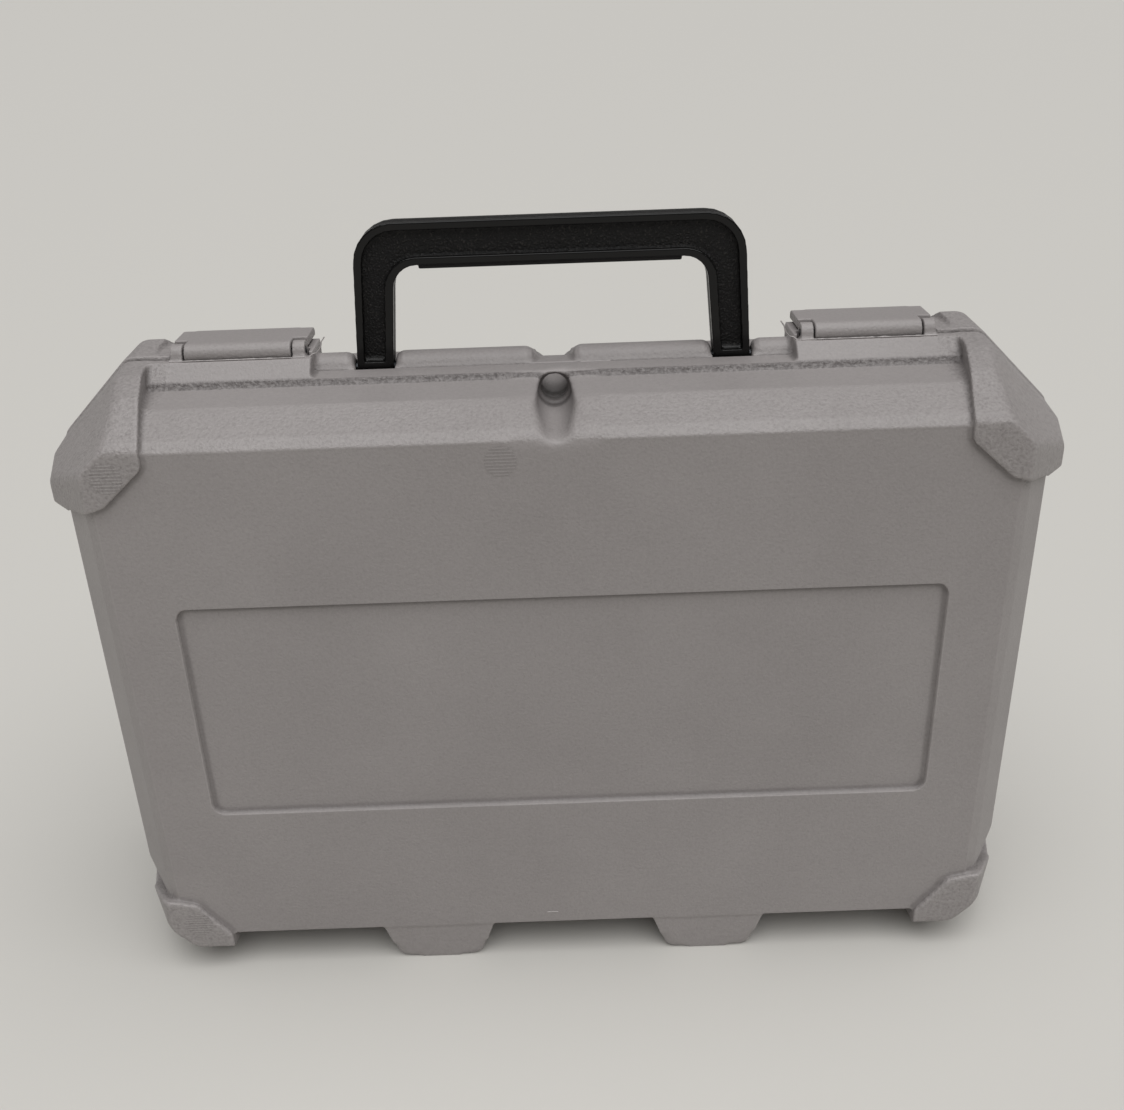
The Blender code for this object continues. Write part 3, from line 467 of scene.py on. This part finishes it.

# %% [markdown]
# ## Its colour, in layers
#
# The plastic is one grey through and through, and thin changes lie over it: slow mottling, long upright
# scuffs, a painted highlight on the tops and painted shade in the pits of the pebbled grain, paler thin
# flash, edges rubbed pale, dust with painted shade in grooves, and painted shade on the ledge. Each layer is
# a mask and a colour, and a loop mixes them one over the other. The masks read the noise of the pebbles, the
# bend attribute, and an attribute for thin plastic.

# %% Layers of the grey
GREY_DARK, GREY_LIGHT = hex_colour("#8c8786"), hex_colour("#938e8d")
# Paler grey for wear and painted highlight, darker grey for dust and painted shade.
GREY_WEAR_AND_HIGHLIGHT, GREY_DUST_AND_SHADE = hex_colour("#b0abaa"), hex_colour("#5d5857")
MOTTLE = {"Scale": 1 / (70 * MM), "Detail": 6.0, "Roughness": 0.6}
SCUFF = {"Scale": 1 / (14 * MM), "Detail": 8.0, "Roughness": 0.75}
SCUFF_STRETCH = (1.0, 1.0, 0.12)
SCUFF_SHARE = {"From Min": 0.68, "From Max": 0.76, "To Max": 0.3}
# Painted highlight on the tops of the pebbled grain, and painted shade in its pits.
TOPS_HIGHLIGHT_SHARE = {"From Min": 0.5, "From Max": 0.72, "To Max": 0.26}
PITS_SHADE_SHARE = {"From Min": 0.3, "From Max": 0.5, "To Min": 0.34, "To Max": 0.0}
RUBBED_SHARE = {"From Min": 0.06 * MM, "From Max": 0.30 * MM, "To Max": 0.45}
# Dust and painted shade in grooves, and painted shade along the ragged ledge.
GROOVE_DUST_AND_SHADE_SHARE = {"From Min": -0.30 * MM, "From Max": -0.04 * MM, "To Min": 0.75, "To Max": 0.0}
LEDGE_SHADE_SHARE = {"From Min": 0.38, "From Max": 0.62, "To Min": 1.0, "To Max": 0.5}


def wear_and_shade(tree, mottle, pebble, ledge):
    """Where edges are rubbed pale, where dust and painted shade darken grooves, and painted shade the ledge.
    """
    bend = add_node(tree, "ShaderNodeAttribute", attribute_name="bend").outputs["Fac"]
    outward = add_node(tree, "ShaderNodeMapRange", {"Value": bend} | RUBBED_SHARE).outputs[0]
    rubbed = add_node(tree, "ShaderNodeMath", {0: outward, 1: mottle}, operation="MULTIPLY").outputs[0]
    plain = add_node(tree, "ShaderNodeMath", {0: 1.0, 1: ledge}, operation="SUBTRACT").outputs[0]
    rubbed = add_node(tree, "ShaderNodeMath", {0: rubbed, 1: plain}, operation="MULTIPLY").outputs[0]
    # Dust and painted shade in the grooves.
    inward = add_node(tree, "ShaderNodeMapRange", {"Value": bend} | GROOVE_DUST_AND_SHADE_SHARE).outputs[0]
    # Painted shade on the ledge, broken up by the grain.
    shade = add_node(tree, "ShaderNodeMapRange", {"Value": pebble} | LEDGE_SHADE_SHARE).outputs[0]
    shaded_ledge = add_node(tree, "ShaderNodeMath", {0: ledge, 1: shade}, operation="MULTIPLY").outputs[0]
    dust_and_shade = add_node(tree, "ShaderNodeMath", {0: inward, 1: shaded_ledge}, operation="MAXIMUM").outputs[0]
    return rubbed, dust_and_shade


def layered_grey(tree, place, mottle, pebble, pebbled, ledge):
    """The grey plastic's colour."""
    long = add_node(tree, "ShaderNodeMapping", {"Vector": place, "Scale": SCUFF_STRETCH}).outputs[0]
    streak = add_node(tree, "ShaderNodeTexNoise", {"Vector": long} | SCUFF).outputs[0]
    scuff = add_node(tree, "ShaderNodeMapRange", {"Value": streak} | SCUFF_SHARE).outputs[0]
    # Painted highlight on the grain's tops.
    highlighted_tops = add_node(tree, "ShaderNodeMapRange", {"Value": pebble} | TOPS_HIGHLIGHT_SHARE).outputs[0]
    highlighted_tops = add_node(tree, "ShaderNodeMath", {0: highlighted_tops, 1: pebbled}, operation="MULTIPLY").outputs[0]
    # Painted shade in the grain's pits.
    shaded_pits = add_node(tree, "ShaderNodeMapRange", {"Value": pebble} | PITS_SHADE_SHARE).outputs[0]
    shaded_pits = add_node(tree, "ShaderNodeMath", {0: shaded_pits, 1: pebbled}, operation="MULTIPLY").outputs[0]
    thin = add_node(tree, "ShaderNodeAttribute", attribute_name="thin").outputs["Fac"]
    rubbed, dust_and_shade = wear_and_shade(tree, mottle, pebble, ledge)
    layers = [
        (mottle, GREY_LIGHT),
        (scuff, GREY_WEAR_AND_HIGHLIGHT),
        # Painted highlight, then painted shade, on the pebbled grain.
        (highlighted_tops, GREY_WEAR_AND_HIGHLIGHT),
        (shaded_pits, GREY_DUST_AND_SHADE),
        (thin, GREY_WEAR_AND_HIGHLIGHT),
        (rubbed, GREY_WEAR_AND_HIGHLIGHT),
        # Dust and painted shade in grooves, painted shade on the ledge.
        (dust_and_shade, GREY_DUST_AND_SHADE),
    ]
    colour = GREY_DARK
    for mask, layer in layers:
        colours = {0: mask, 6: colour, 7: layer}
        colour = add_node(tree, "ShaderNodeMix", colours, data_type="RGBA").outputs[2]
    return colour


print("grey:", [round(part, 3) for part in GREY_DARK], "to", [round(part, 3) for part in GREY_LIGHT])

# %% [markdown]
# ## Its relief and gloss
#
# Fine and pebbled grain add up to one relief, which tilts the light as bump. Waxy plastic is a little
# glossier where it was rubbed, so the slow mottling also drives the roughness.

# %% The grey plastic
FINE_GRAIN = 0.9 * MM  # about 0.3 mm on the real face, drawn coarser so that it shows
FINE_SHARE = 0.3
PEBBLE = 1.1 * MM  # about 0.8 mm on the real corner guards, drawn coarser so that it shows
PEBBLE_DEPTH = 0.11 * MM
BUMP_GAIN = 4  # a noise uses only part of its range, so its relief is raised
GREY_IOR = 1.54
GREY_ROUGHNESS = {"To Min": 0.52, "To Max": 0.44}


def grey_polyethylene():
    material, tree, shader = new_material("polyethylene_grey_grained")
    shader.inputs["IOR"].default_value = GREY_IOR
    place = add_node(tree, "ShaderNodeTexCoord").outputs["Object"]
    pebbled, ledge = grain_masks(tree, place)
    noise = {"Vector": place, "Scale": 1 / FINE_GRAIN, "Detail": 2.0}
    fine = add_node(tree, "ShaderNodeTexNoise", noise).outputs[0]
    noise = {"Vector": place, "Scale": 1 / PEBBLE, "Detail": 3.0, "Roughness": 0.6}
    pebble = add_node(tree, "ShaderNodeTexNoise", noise).outputs[0]
    coarse = add_node(tree, "ShaderNodeMath", {0: pebble, 1: pebbled}, operation="MULTIPLY").outputs[0]
    grains = {0: fine, 1: FINE_SHARE, 2: coarse}
    relief = add_node(tree, "ShaderNodeMath", grains, operation="MULTIPLY_ADD").outputs[0]
    depths = {"Strength": 1.0, "Distance": PEBBLE_DEPTH * BUMP_GAIN, "Height": relief}
    tree.links.new(add_node(tree, "ShaderNodeBump", depths).outputs[0], shader.inputs["Normal"])
    mottle = add_node(tree, "ShaderNodeTexNoise", {"Vector": place} | MOTTLE).outputs[0]
    mottle = add_node(tree, "ShaderNodeMapRange", {"Value": mottle} | NOISE_SPAN).outputs[0]
    colour = layered_grey(tree, place, mottle, pebble, pebbled, ledge)
    tree.links.new(colour, shader.inputs["Base Color"])
    gloss = add_node(tree, "ShaderNodeMapRange", {"Value": mottle} | GREY_ROUGHNESS).outputs[0]
    tree.links.new(gloss, shader.inputs["Roughness"])
    return material


GREY = grey_polyethylene()
print(f"{GREY.name}: {len(GREY.node_tree.nodes)} nodes")

# %% [markdown]
# ## Black polypropylene, injection-moulded
#
# The handle is a harder, glossier plastic from a steel mould: its rim is polished by hands, and the sunk web
# keeps the mould's spark-eroded grain, with pale specks on its peaks that are painted glints and dust. The
# web is found by its distance from the handle's middle plane, so one material serves both.

# %% The black plastic
BLACK_DARK, BLACK_LIGHT = hex_colour("#050505"), hex_colour("#0e0d0d")
# Pale specks on the web's grain: painted glints, and dust.
BLACK_GLINT_AND_DUST = hex_colour("#4a4643")
BLACK_MOTTLE = 20 * MM
SPARK_GRAIN = 0.7 * MM  # about 0.2 mm on the real web, drawn coarser so that it shows
SPARK_DEPTH = 0.14 * MM
SPECK_SHARE = {"From Min": 0.58, "From Max": 0.72, "To Max": 0.4}
WEB_HALF, WEB_EDGE = 2.0 * MM, 0.6 * MM
BLACK_IOR = 1.49
BLACK_SPECULAR = 0.28
BLACK_ROUGHNESS = {"To Min": 0.16, "To Max": 0.5}
handle_low, handle_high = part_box("handle")


def black_polypropylene():
    material, tree, shader = new_material("polypropylene_black_moulded")
    shader.inputs["IOR"].default_value = BLACK_IOR
    shader.inputs["Specular IOR Level"].default_value = BLACK_SPECULAR
    place = add_node(tree, "ShaderNodeTexCoord").outputs["Object"]
    depth = add_node(tree, "ShaderNodeSeparateXYZ", {0: place}).outputs["Y"]
    middle = (handle_low[1] + handle_high[1]) / 2
    off = add_node(tree, "ShaderNodeMath", {0: depth, 1: middle}, operation="SUBTRACT").outputs[0]
    away = add_node(tree, "ShaderNodeMath", {0: off}, operation="ABSOLUTE").outputs[0]
    edges = {"Value": away, "From Min": WEB_HALF, "From Max": WEB_HALF + WEB_EDGE}
    web = add_node(tree, "ShaderNodeMapRange", edges | FALLING).outputs[0]
    noise = {"Vector": place, "Scale": 1 / SPARK_GRAIN, "Detail": 2.0}
    grain = add_node(tree, "ShaderNodeTexNoise", noise).outputs[0]
    relief = add_node(tree, "ShaderNodeMath", {0: grain, 1: web}, operation="MULTIPLY").outputs[0]
    depths = {"Strength": 1.0, "Distance": SPARK_DEPTH * BUMP_GAIN, "Height": relief}
    tree.links.new(add_node(tree, "ShaderNodeBump", depths).outputs[0], shader.inputs["Normal"])
    noise = {"Vector": place, "Scale": 1 / BLACK_MOTTLE, "Detail": 5.0}
    mottle = add_node(tree, "ShaderNodeTexNoise", noise).outputs[0]
    # Pale specks on the grain's peaks: painted glints and dust.
    specks = add_node(tree, "ShaderNodeMapRange", {"Value": grain} | SPECK_SHARE).outputs[0]
    specks = add_node(tree, "ShaderNodeMath", {0: specks, 1: web}, operation="MULTIPLY").outputs[0]
    colour = BLACK_DARK
    for mask, layer in ((mottle, BLACK_LIGHT), (specks, BLACK_GLINT_AND_DUST)):
        colours = {0: mask, 6: colour, 7: layer}
        colour = add_node(tree, "ShaderNodeMix", colours, data_type="RGBA").outputs[2]
    tree.links.new(colour, shader.inputs["Base Color"])
    gloss = add_node(tree, "ShaderNodeMapRange", {"Value": web} | BLACK_ROUGHNESS).outputs[0]
    tree.links.new(gloss, shader.inputs["Roughness"])
    return material


BLACK = black_polypropylene()
print(f"{BLACK.name}: {len(BLACK.node_tree.nodes)} nodes")

# %% [markdown]
# ## Dark steel pins
#
# The hinge, latch and handle pins are drawn steel rod, coloured dark both for a blackened finish and as
# painted shade in their bores. Drawing leaves fine lines along the rod, so the noise that drives the
# roughness is stretched along X.

# %% The steel
# Dark steel: a blackened finish, and painted shade for the bores the pins sit in.
STEEL_DARK, STEEL_LIGHT = hex_colour("#3a3b3d"), hex_colour("#55575a")
DRAWN_LINE = 0.5 * MM
DRAWN_STRETCH = (0.02, 1.0, 1.0)
STEEL_ROUGHNESS = {"To Min": 0.32, "To Max": 0.5}


def darkened_steel():
    material, tree, shader = new_material("steel_drawn_darkened")
    shader.inputs["Metallic"].default_value = 1.0
    place = add_node(tree, "ShaderNodeTexCoord").outputs["Object"]
    along = add_node(tree, "ShaderNodeMapping", {"Vector": place, "Scale": DRAWN_STRETCH}).outputs[0]
    lines = add_node(tree, "ShaderNodeTexNoise", {"Vector": along, "Scale": 1 / DRAWN_LINE}).outputs[0]
    colours = {0: lines, 6: STEEL_DARK, 7: STEEL_LIGHT}
    colour = add_node(tree, "ShaderNodeMix", colours, data_type="RGBA").outputs[2]
    tree.links.new(colour, shader.inputs["Base Color"])
    edges = {"Value": lines} | NOISE_SPAN | STEEL_ROUGHNESS
    tree.links.new(add_node(tree, "ShaderNodeMapRange", edges).outputs[0], shader.inputs["Roughness"])
    return material


STEEL = darkened_steel()
print(f"{STEEL.name}: {len(STEEL.node_tree.nodes)} nodes")

# %% [markdown]
# ## Dressing each solid
#
# Shells, latches and handle are replaced by their softened copies. The pins stay hidden in their bores but
# for their ends, so they keep their solids and only get the steel.

# %% Replace the plastic solids
MARK_HEIGHT = 0.12 * MM
SHELL = {"voxel": 0.6 * MM, "smoothing": 2, "triangles": 185_000, "sunk": MARK_HEIGHT}
SMALL = {"voxel": 0.35 * MM, "smoothing": 4, "triangles": 60_000, "sunk": 0.0}
PLASTIC = {
    "front_shell": (SHELL, GREY, "case_grey"),
    "rear_shell": (SHELL, GREY, "case_grey"),
    "latch_left": (SMALL, GREY, "case_grey"),
    "latch_right": (SMALL, GREY, "case_grey"),
    "handle": (SMALL, BLACK, "handle_black"),
}
bodies = frame["record"]["behaviour"]["bodies"]
body_of = {node: body for body, nodes in bodies.items() for node in nodes}
for node, (fineness, material, slot) in PLASTIC.items():
    piece = softened(node, **fineness)
    piece.data.materials.append(material)
    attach(piece, body_of[node])
    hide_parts(node)
    print(f"{piece.name}: {len(piece.data.polygons)} faces, rides on {body_of[node]}")

# %% Give the pins their steel
pins = [obj for node, obj in frame["nodes"].items() if "pin" in node]
for pin in pins:
    pin.data.materials.clear()
    pin.data.materials.append(STEEL)
print(f"{len(pins)} pins in steel")

# %% [markdown]
# ## Vent marks
#
# The mould lets air out through small slotted plugs, and each one prints a round patch of fine ribs on the
# plastic. Ribs repeat, so Geometry Nodes make them: a column of points, a bar on each point, each bar as long
# as the circle's chord at its height, and the whole patch again on every place where a plug sat. A low disc
# below the bars is the ground between them, darkened as painted shade. The bend attribute is given here:
# rubbed on the ribs, painted shade between.

# %% A tree that makes ribbed patches
# Ribs count as rubbed; the ground between them is darkened as painted shade.
RIB_RUBBED, GROUND_SHADED = 0.2 * MM, -0.10 * MM
DISC_SIDES = 32
VENT_SIZES = {"Radius": 5.0 * MM, "Pitch": 1.1 * MM, "Bar": 0.45 * MM, "Proud": MARK_HEIGHT}


def rib_column(tree, given):
    """A column of points, one for each rib that fits into the circle."""
    across = add_node(tree, "ShaderNodeMath", {0: given["Radius"], 1: 2.0}, operation="MULTIPLY").outputs[0]
    pitches = {0: across, 1: given["Pitch"]}
    pitches = add_node(tree, "ShaderNodeMath", pitches, operation="DIVIDE").outputs[0]
    count = add_node(tree, "ShaderNodeMath", {0: pitches}, operation="FLOOR").outputs[0]
    steps = add_node(tree, "ShaderNodeMath", {0: count, 1: 1.0}, operation="SUBTRACT").outputs[0]
    run = add_node(tree, "ShaderNodeMath", {0: steps, 1: given["Pitch"]}, operation="MULTIPLY").outputs[0]
    foot = add_node(tree, "ShaderNodeMath", {0: run, 1: -0.5}, operation="MULTIPLY").outputs[0]
    start = add_node(tree, "ShaderNodeCombineXYZ", {"Z": foot}).outputs[0]
    step = add_node(tree, "ShaderNodeCombineXYZ", {"Z": given["Pitch"]}).outputs[0]
    column = {"Count": count, "Start Location": start, "Offset": step}
    return add_node(tree, "GeometryNodeMeshLine", column).outputs[0]


def rib_size(tree, given):
    """Each rib's size: as long as the circle's chord at the rib's height."""
    place = add_node(tree, "GeometryNodeInputPosition").outputs[0]
    height = add_node(tree, "ShaderNodeSeparateXYZ", {0: place}).outputs["Z"]
    rise = add_node(tree, "ShaderNodeMath", {0: height, 1: 2.0}, operation="POWER").outputs[0]
    reach = add_node(tree, "ShaderNodeMath", {0: given["Radius"], 1: 2.0}, operation="POWER").outputs[0]
    rest = add_node(tree, "ShaderNodeMath", {0: reach, 1: rise}, operation="SUBTRACT").outputs[0]
    half = add_node(tree, "ShaderNodeMath", {0: rest}, operation="SQRT").outputs[0]
    chord = add_node(tree, "ShaderNodeMath", {0: half, 1: 2.0}, operation="MULTIPLY").outputs[0]
    thick = add_node(tree, "ShaderNodeMath", {0: given["Proud"], 1: 2.0}, operation="MULTIPLY").outputs[0]
    return add_node(tree, "ShaderNodeCombineXYZ", {"X": chord, "Y": thick, "Z": given["Bar"]}).outputs[0]


def vent_tree():
    sockets = {"Geometry": "NodeSocketGeometry"} | dict.fromkeys(VENT_SIZES, "NodeSocketFloat")
    tree, given, identifiers = geometry_tree("vent_ribs", sockets | {"Material": "NodeSocketMaterial"})
    bar = add_node(tree, "GeometryNodeMeshCube", {"Size": (1.0, 1.0, 1.0)}).outputs[0]
    bars = {"Points": rib_column(tree, given), "Instance": bar, "Scale": rib_size(tree, given)}
    ribs = add_node(tree, "GeometryNodeInstanceOnPoints", bars).outputs[0]
    ribs = add_node(tree, "GeometryNodeRealizeInstances", {0: ribs}).outputs[0]
    disc = {"Vertices": DISC_SIDES, "Radius": given["Radius"], "Depth": given["Proud"]}
    disc = add_node(tree, "GeometryNodeMeshCylinder", disc).outputs[0]
    upright = {"Geometry": disc, "Rotation": (math.pi / 2, 0.0, 0.0)}
    disc = add_node(tree, "GeometryNodeTransform", upright).outputs[0]
    patch = add_node(tree, "GeometryNodeJoinGeometry")
    # The ground disc is darkened as painted shade between the ribs.
    for shape, bend in ((ribs, RIB_RUBBED), (disc, GROUND_SHADED)):
        stored = {"Geometry": shape, "Name": "bend", "Value": bend}
        kept = add_node(tree, "GeometryNodeStoreNamedAttribute", stored, data_type="FLOAT", domain="POINT")
        tree.links.new(kept.outputs[0], patch.inputs[0])
    places = {"Points": given["Geometry"], "Instance": patch.outputs[0]}
    patches = add_node(tree, "GeometryNodeInstanceOnPoints", places).outputs[0]
    real = add_node(tree, "GeometryNodeRealizeInstances", {0: patches}).outputs[0]
    painted = add_node(tree, "GeometryNodeSetMaterial", {"Geometry": real, "Material": given["Material"]})
    add_node(tree, "NodeGroupOutput", {0: painted.outputs[0]})
    return tree, identifiers


VENT = vent_tree()
print(f"{VENT[0].name}: {len(VENT[0].nodes)} nodes")

# %% Print the vent marks on both shells
FACE_Y = MARK_HEIGHT - FACE_DEPTH
GUARD_Y = MARK_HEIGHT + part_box("front_shell")[0][1]
VENT_PLACES = {
    "lid": [
        (-17.5 * MM, FACE_Y, 201.0 * MM),
        (-138.5 * MM, GUARD_Y, 200.5 * MM),
        (-139.0 * MM, GUARD_Y, 22.0 * MM),
    ],
    "base": [
        (17.5 * MM, -FACE_Y, 201.0 * MM),
        (138.5 * MM, -GUARD_Y, 200.5 * MM),
    ],
}


def made_by_tree(name, points, edges, tree, values):
    """A plain mesh piece that a Geometry Nodes tree makes from points and edges."""
    seed = bpy.data.meshes.new(f"{name}_seed")
    seed.from_pydata(points, edges, [])
    helper = add_object(f"{name}_helper", seed)
    add_tree(helper, *tree, values)
    mesh = plain_mesh(helper)
    bpy.data.objects.remove(helper, do_unlink=True)
    return add_object(name, mesh)


for body, places in VENT_PLACES.items():
    vents = made_by_tree(f"vent_marks_{body}", places, [], VENT, VENT_SIZES | {"Material": GREY})
    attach(vents, body)
    print(f"{vents.name}: {len(vents.data.polygons)} faces on {len(places)} places")

# %% [markdown]
# ## Torn flash
#
# Where two halves of a mould meet, a little plastic escapes and is cut off by hand. What stays is a thin
# ragged fin along the latches, a curled thread at their inner ends, a tear on the seam and a nick low on the
# face. All follow a path, so Geometry Nodes turn lines into tubes, and a noise along the path makes their
# thickness uneven. Plastic that thin lets light through, so it is paler.

# %% A tree that turns lines into strands
STRAND_SIDES = 6
FLASH_SIZES = {
    "Thickness": 0.34 * MM,
    "Uneven": 0.7,
    "Lump": 2.5 * MM,
    "Spacing": 0.5 * MM,
    "Pale": 0.8,
}


def strand_tree():
    sockets = {"Geometry": "NodeSocketGeometry"} | dict.fromkeys(FLASH_SIZES, "NodeSocketFloat")
    tree, given, identifiers = geometry_tree("strands", sockets | {"Material": "NodeSocketMaterial"})
    path = add_node(tree, "GeometryNodeMeshToCurve", {0: given["Geometry"]}).outputs[0]
    spacing = {"Curve": path, "Length": given["Spacing"]}
    even = add_node(tree, "GeometryNodeResampleCurve", spacing, mode="LENGTH").outputs[0]
    place = add_node(tree, "GeometryNodeInputPosition").outputs[0]
    scale = add_node(tree, "ShaderNodeMath", {0: 1.0, 1: given["Lump"]}, operation="DIVIDE").outputs[0]
    noise = add_node(tree, "ShaderNodeTexNoise", {"Vector": place, "Scale": scale}).outputs[0]
    least = add_node(tree, "ShaderNodeMath", {0: 1.0, 1: given["Uneven"]}, operation="SUBTRACT").outputs[0]
    swing = {"Value": noise, "To Min": least, "To Max": 1.0}
    share = add_node(tree, "ShaderNodeMapRange", swing | NOISE_SPAN).outputs[0]
    radius = {0: share, 1: given["Thickness"]}
    radius = add_node(tree, "ShaderNodeMath", radius, operation="MULTIPLY").outputs[0]
    profile = {"Resolution": STRAND_SIDES, "Radius": 1.0}
    profile = add_node(tree, "GeometryNodeCurvePrimitiveCircle", profile).outputs[0]
    tube = {"Curve": even, "Profile Curve": profile, "Scale": radius, "Fill Caps": True}
    tubes = add_node(tree, "GeometryNodeCurveToMesh", tube).outputs[0]
    stored = {"Geometry": tubes, "Name": "thin", "Value": given["Pale"]}
    pale = add_node(tree, "GeometryNodeStoreNamedAttribute", stored, data_type="FLOAT", domain="POINT")
    real = add_node(tree, "GeometryNodeRealizeInstances", {0: pale.outputs[0]}).outputs[0]
    painted = add_node(tree, "GeometryNodeSetMaterial", {"Geometry": real, "Material": given["Material"]})
    add_node(tree, "NodeGroupOutput", {0: painted.outputs[0]})
    return tree, identifiers


STRANDS = strand_tree()
print(f"{STRANDS[0].name}: {len(STRANDS[0].nodes)} nodes")

# %% Lay the flash beside the latches
RIDGE_Y, RIDGE_Z = -3.5 * MM, 224.1 * MM
FIN_STEPS = 10
THREAD_INWARD, THREAD_Y = 1.2 * MM, -2.0 * MM
THREAD = [  # mm from its root
    (0.0, 0.0, -0.4),
    (-1.2, 0.2, 0.5),
    (-2.6, 0.3, 0.9),
    (-4.0, 0.2, 2.4),
    (-4.6, 0.0, 4.6),
    (-5.8, 0.0, 6.2),
]
SEAM_TEAR = [(x * MM, -0.3 * MM, 218.3 * MM) for x in (9.0, 14.0, 19.0)]
FACE_NICK = [(x * MM, FACE_Y, 20.2 * MM) for x in (-9.6, -7.6, -5.6)]
latch_low, latch_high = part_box("latch_right")
latch_length = latch_high[0] - latch_low[0]
flash_paths, flash_points, flash_edges = [SEAM_TEAR, FACE_NICK], [], []
for hand in (-1, 1):
    along = [latch_low[0] + k / FIN_STEPS * latch_length for k in range(FIN_STEPS + 1)]
    fin = [(hand * x, RIDGE_Y, RIDGE_Z) for x in along]
    root = Vector((hand * (latch_low[0] - THREAD_INWARD), THREAD_Y, RIDGE_Z))
    curl = [tuple(root + Vector((hand * x, y, z)) * MM) for x, y, z in THREAD]
    flash_paths += [fin, curl]
for path in flash_paths:
    first = len(flash_points)
    flash_points += path
    flash_edges += [(first + k, first + k + 1) for k in range(len(path) - 1)]
flash_values = FLASH_SIZES | {"Material": GREY}
flash = made_by_tree("torn_flash", flash_points, flash_edges, STRANDS, flash_values)
flash.data.shade_smooth()
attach(flash, "lid")
print(f"{flash.name}: {len(flash.data.polygons)} faces")

# %% [markdown]
# ## Lip in the seam
#
# The two shells don't quite touch, and on a real case a low lip on one of them keeps dust and light out of
# the gap. It is one more line that becomes a strand, this time even, laid as a ring between the rim and the
# pockets. It lies half in the rear shell and stops short of the front one.

# %% Lay the lip
LIP_SIZES = {
    "Thickness": 0.25 * MM,
    "Uneven": 0.0,
    "Lump": 2.5 * MM,
    "Spacing": 4.0 * MM,
    "Pale": 0.0,
}
LIP_Y = 0.12 * MM
LIP_HALF = [(146.0, 20.0), (146.0, 196.0), (140.0, 202.0)]  # X and Z in mm
ring = LIP_HALF + [(-x, z) for x, z in reversed(LIP_HALF)]
lip_points = [(x * MM, LIP_Y, z * MM) for x, z in ring]
lip_edges = [(k, (k + 1) % len(ring)) for k in range(len(ring))]
lip = made_by_tree("seam_lip", lip_points, lip_edges, STRANDS, LIP_SIZES | {"Material": GREY})
lip.data.shade_smooth()
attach(lip, "base")
print(f"{lip.name}: {len(lip.data.polygons)} faces")

# %% [markdown]
# ## Floor and light
#
# A wide pale floor runs on behind the case to the horizon, so no back wall hides it from behind. One broad
# light overhead gives the soft shadow at the foot and the bright upper slope, and a plain pale room fills the
# rest.

# %% Lay the floor
FLOOR_COLOUR = hex_colour("#c8c6c1")
FLOOR_ROUGHNESS = 0.75
FLOOR_HALF = 1000.0


def lay_floor():
    mesh = bpy.data.meshes.new("floor")
    shape = bmesh.new()
    bmesh.ops.create_grid(shape, x_segments=1, y_segments=1, size=FLOOR_HALF)
    shape.to_mesh(mesh)
    shape.free()
    material, _, shader = new_material("floor_paint_matt")
    shader.inputs["Base Color"].default_value = FLOOR_COLOUR
    shader.inputs["Roughness"].default_value = FLOOR_ROUGHNESS
    mesh.materials.append(material)
    floor = add_object("floor", mesh)
    floor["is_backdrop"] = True


lay_floor()
print("floor laid at the case's foot")

# %% Light the room
SUN_TILT = (math.radians(18), math.radians(6), 0)
SUN_SPREAD = math.radians(75)
SUN_STRENGTH = 2.8
ROOM_COLOUR = hex_colour("#fffdfb")
ROOM_STRENGTH = 0.2


def light_room():
    lamp = bpy.data.lights.new("overhead", "SUN")
    lamp.energy = SUN_STRENGTH
    lamp.angle = SUN_SPREAD
    add_object("overhead", lamp).rotation_euler = SUN_TILT
    world = bpy.data.worlds.new("soft_room")
    world.use_nodes = True
    backdrop = world.node_tree.nodes["Background"]
    backdrop.inputs["Color"].default_value = ROOM_COLOUR
    backdrop.inputs["Strength"].default_value = ROOM_STRENGTH
    scene.world = world
    scene.view_settings.view_transform = "Standard"


light_room()
print("one lamp and the room's own light")

# %% [markdown]
# ## Last measure
#
# Softening must not make the case bigger than its solids, so both boxes are written down side by side.

# %% Print the boxes and finish
boxes = {"cad": cad_box, "visual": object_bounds()}
boxes = {name: [[float(v) for v in corner] for corner in box] for name, box in boxes.items()}
print(boxes)
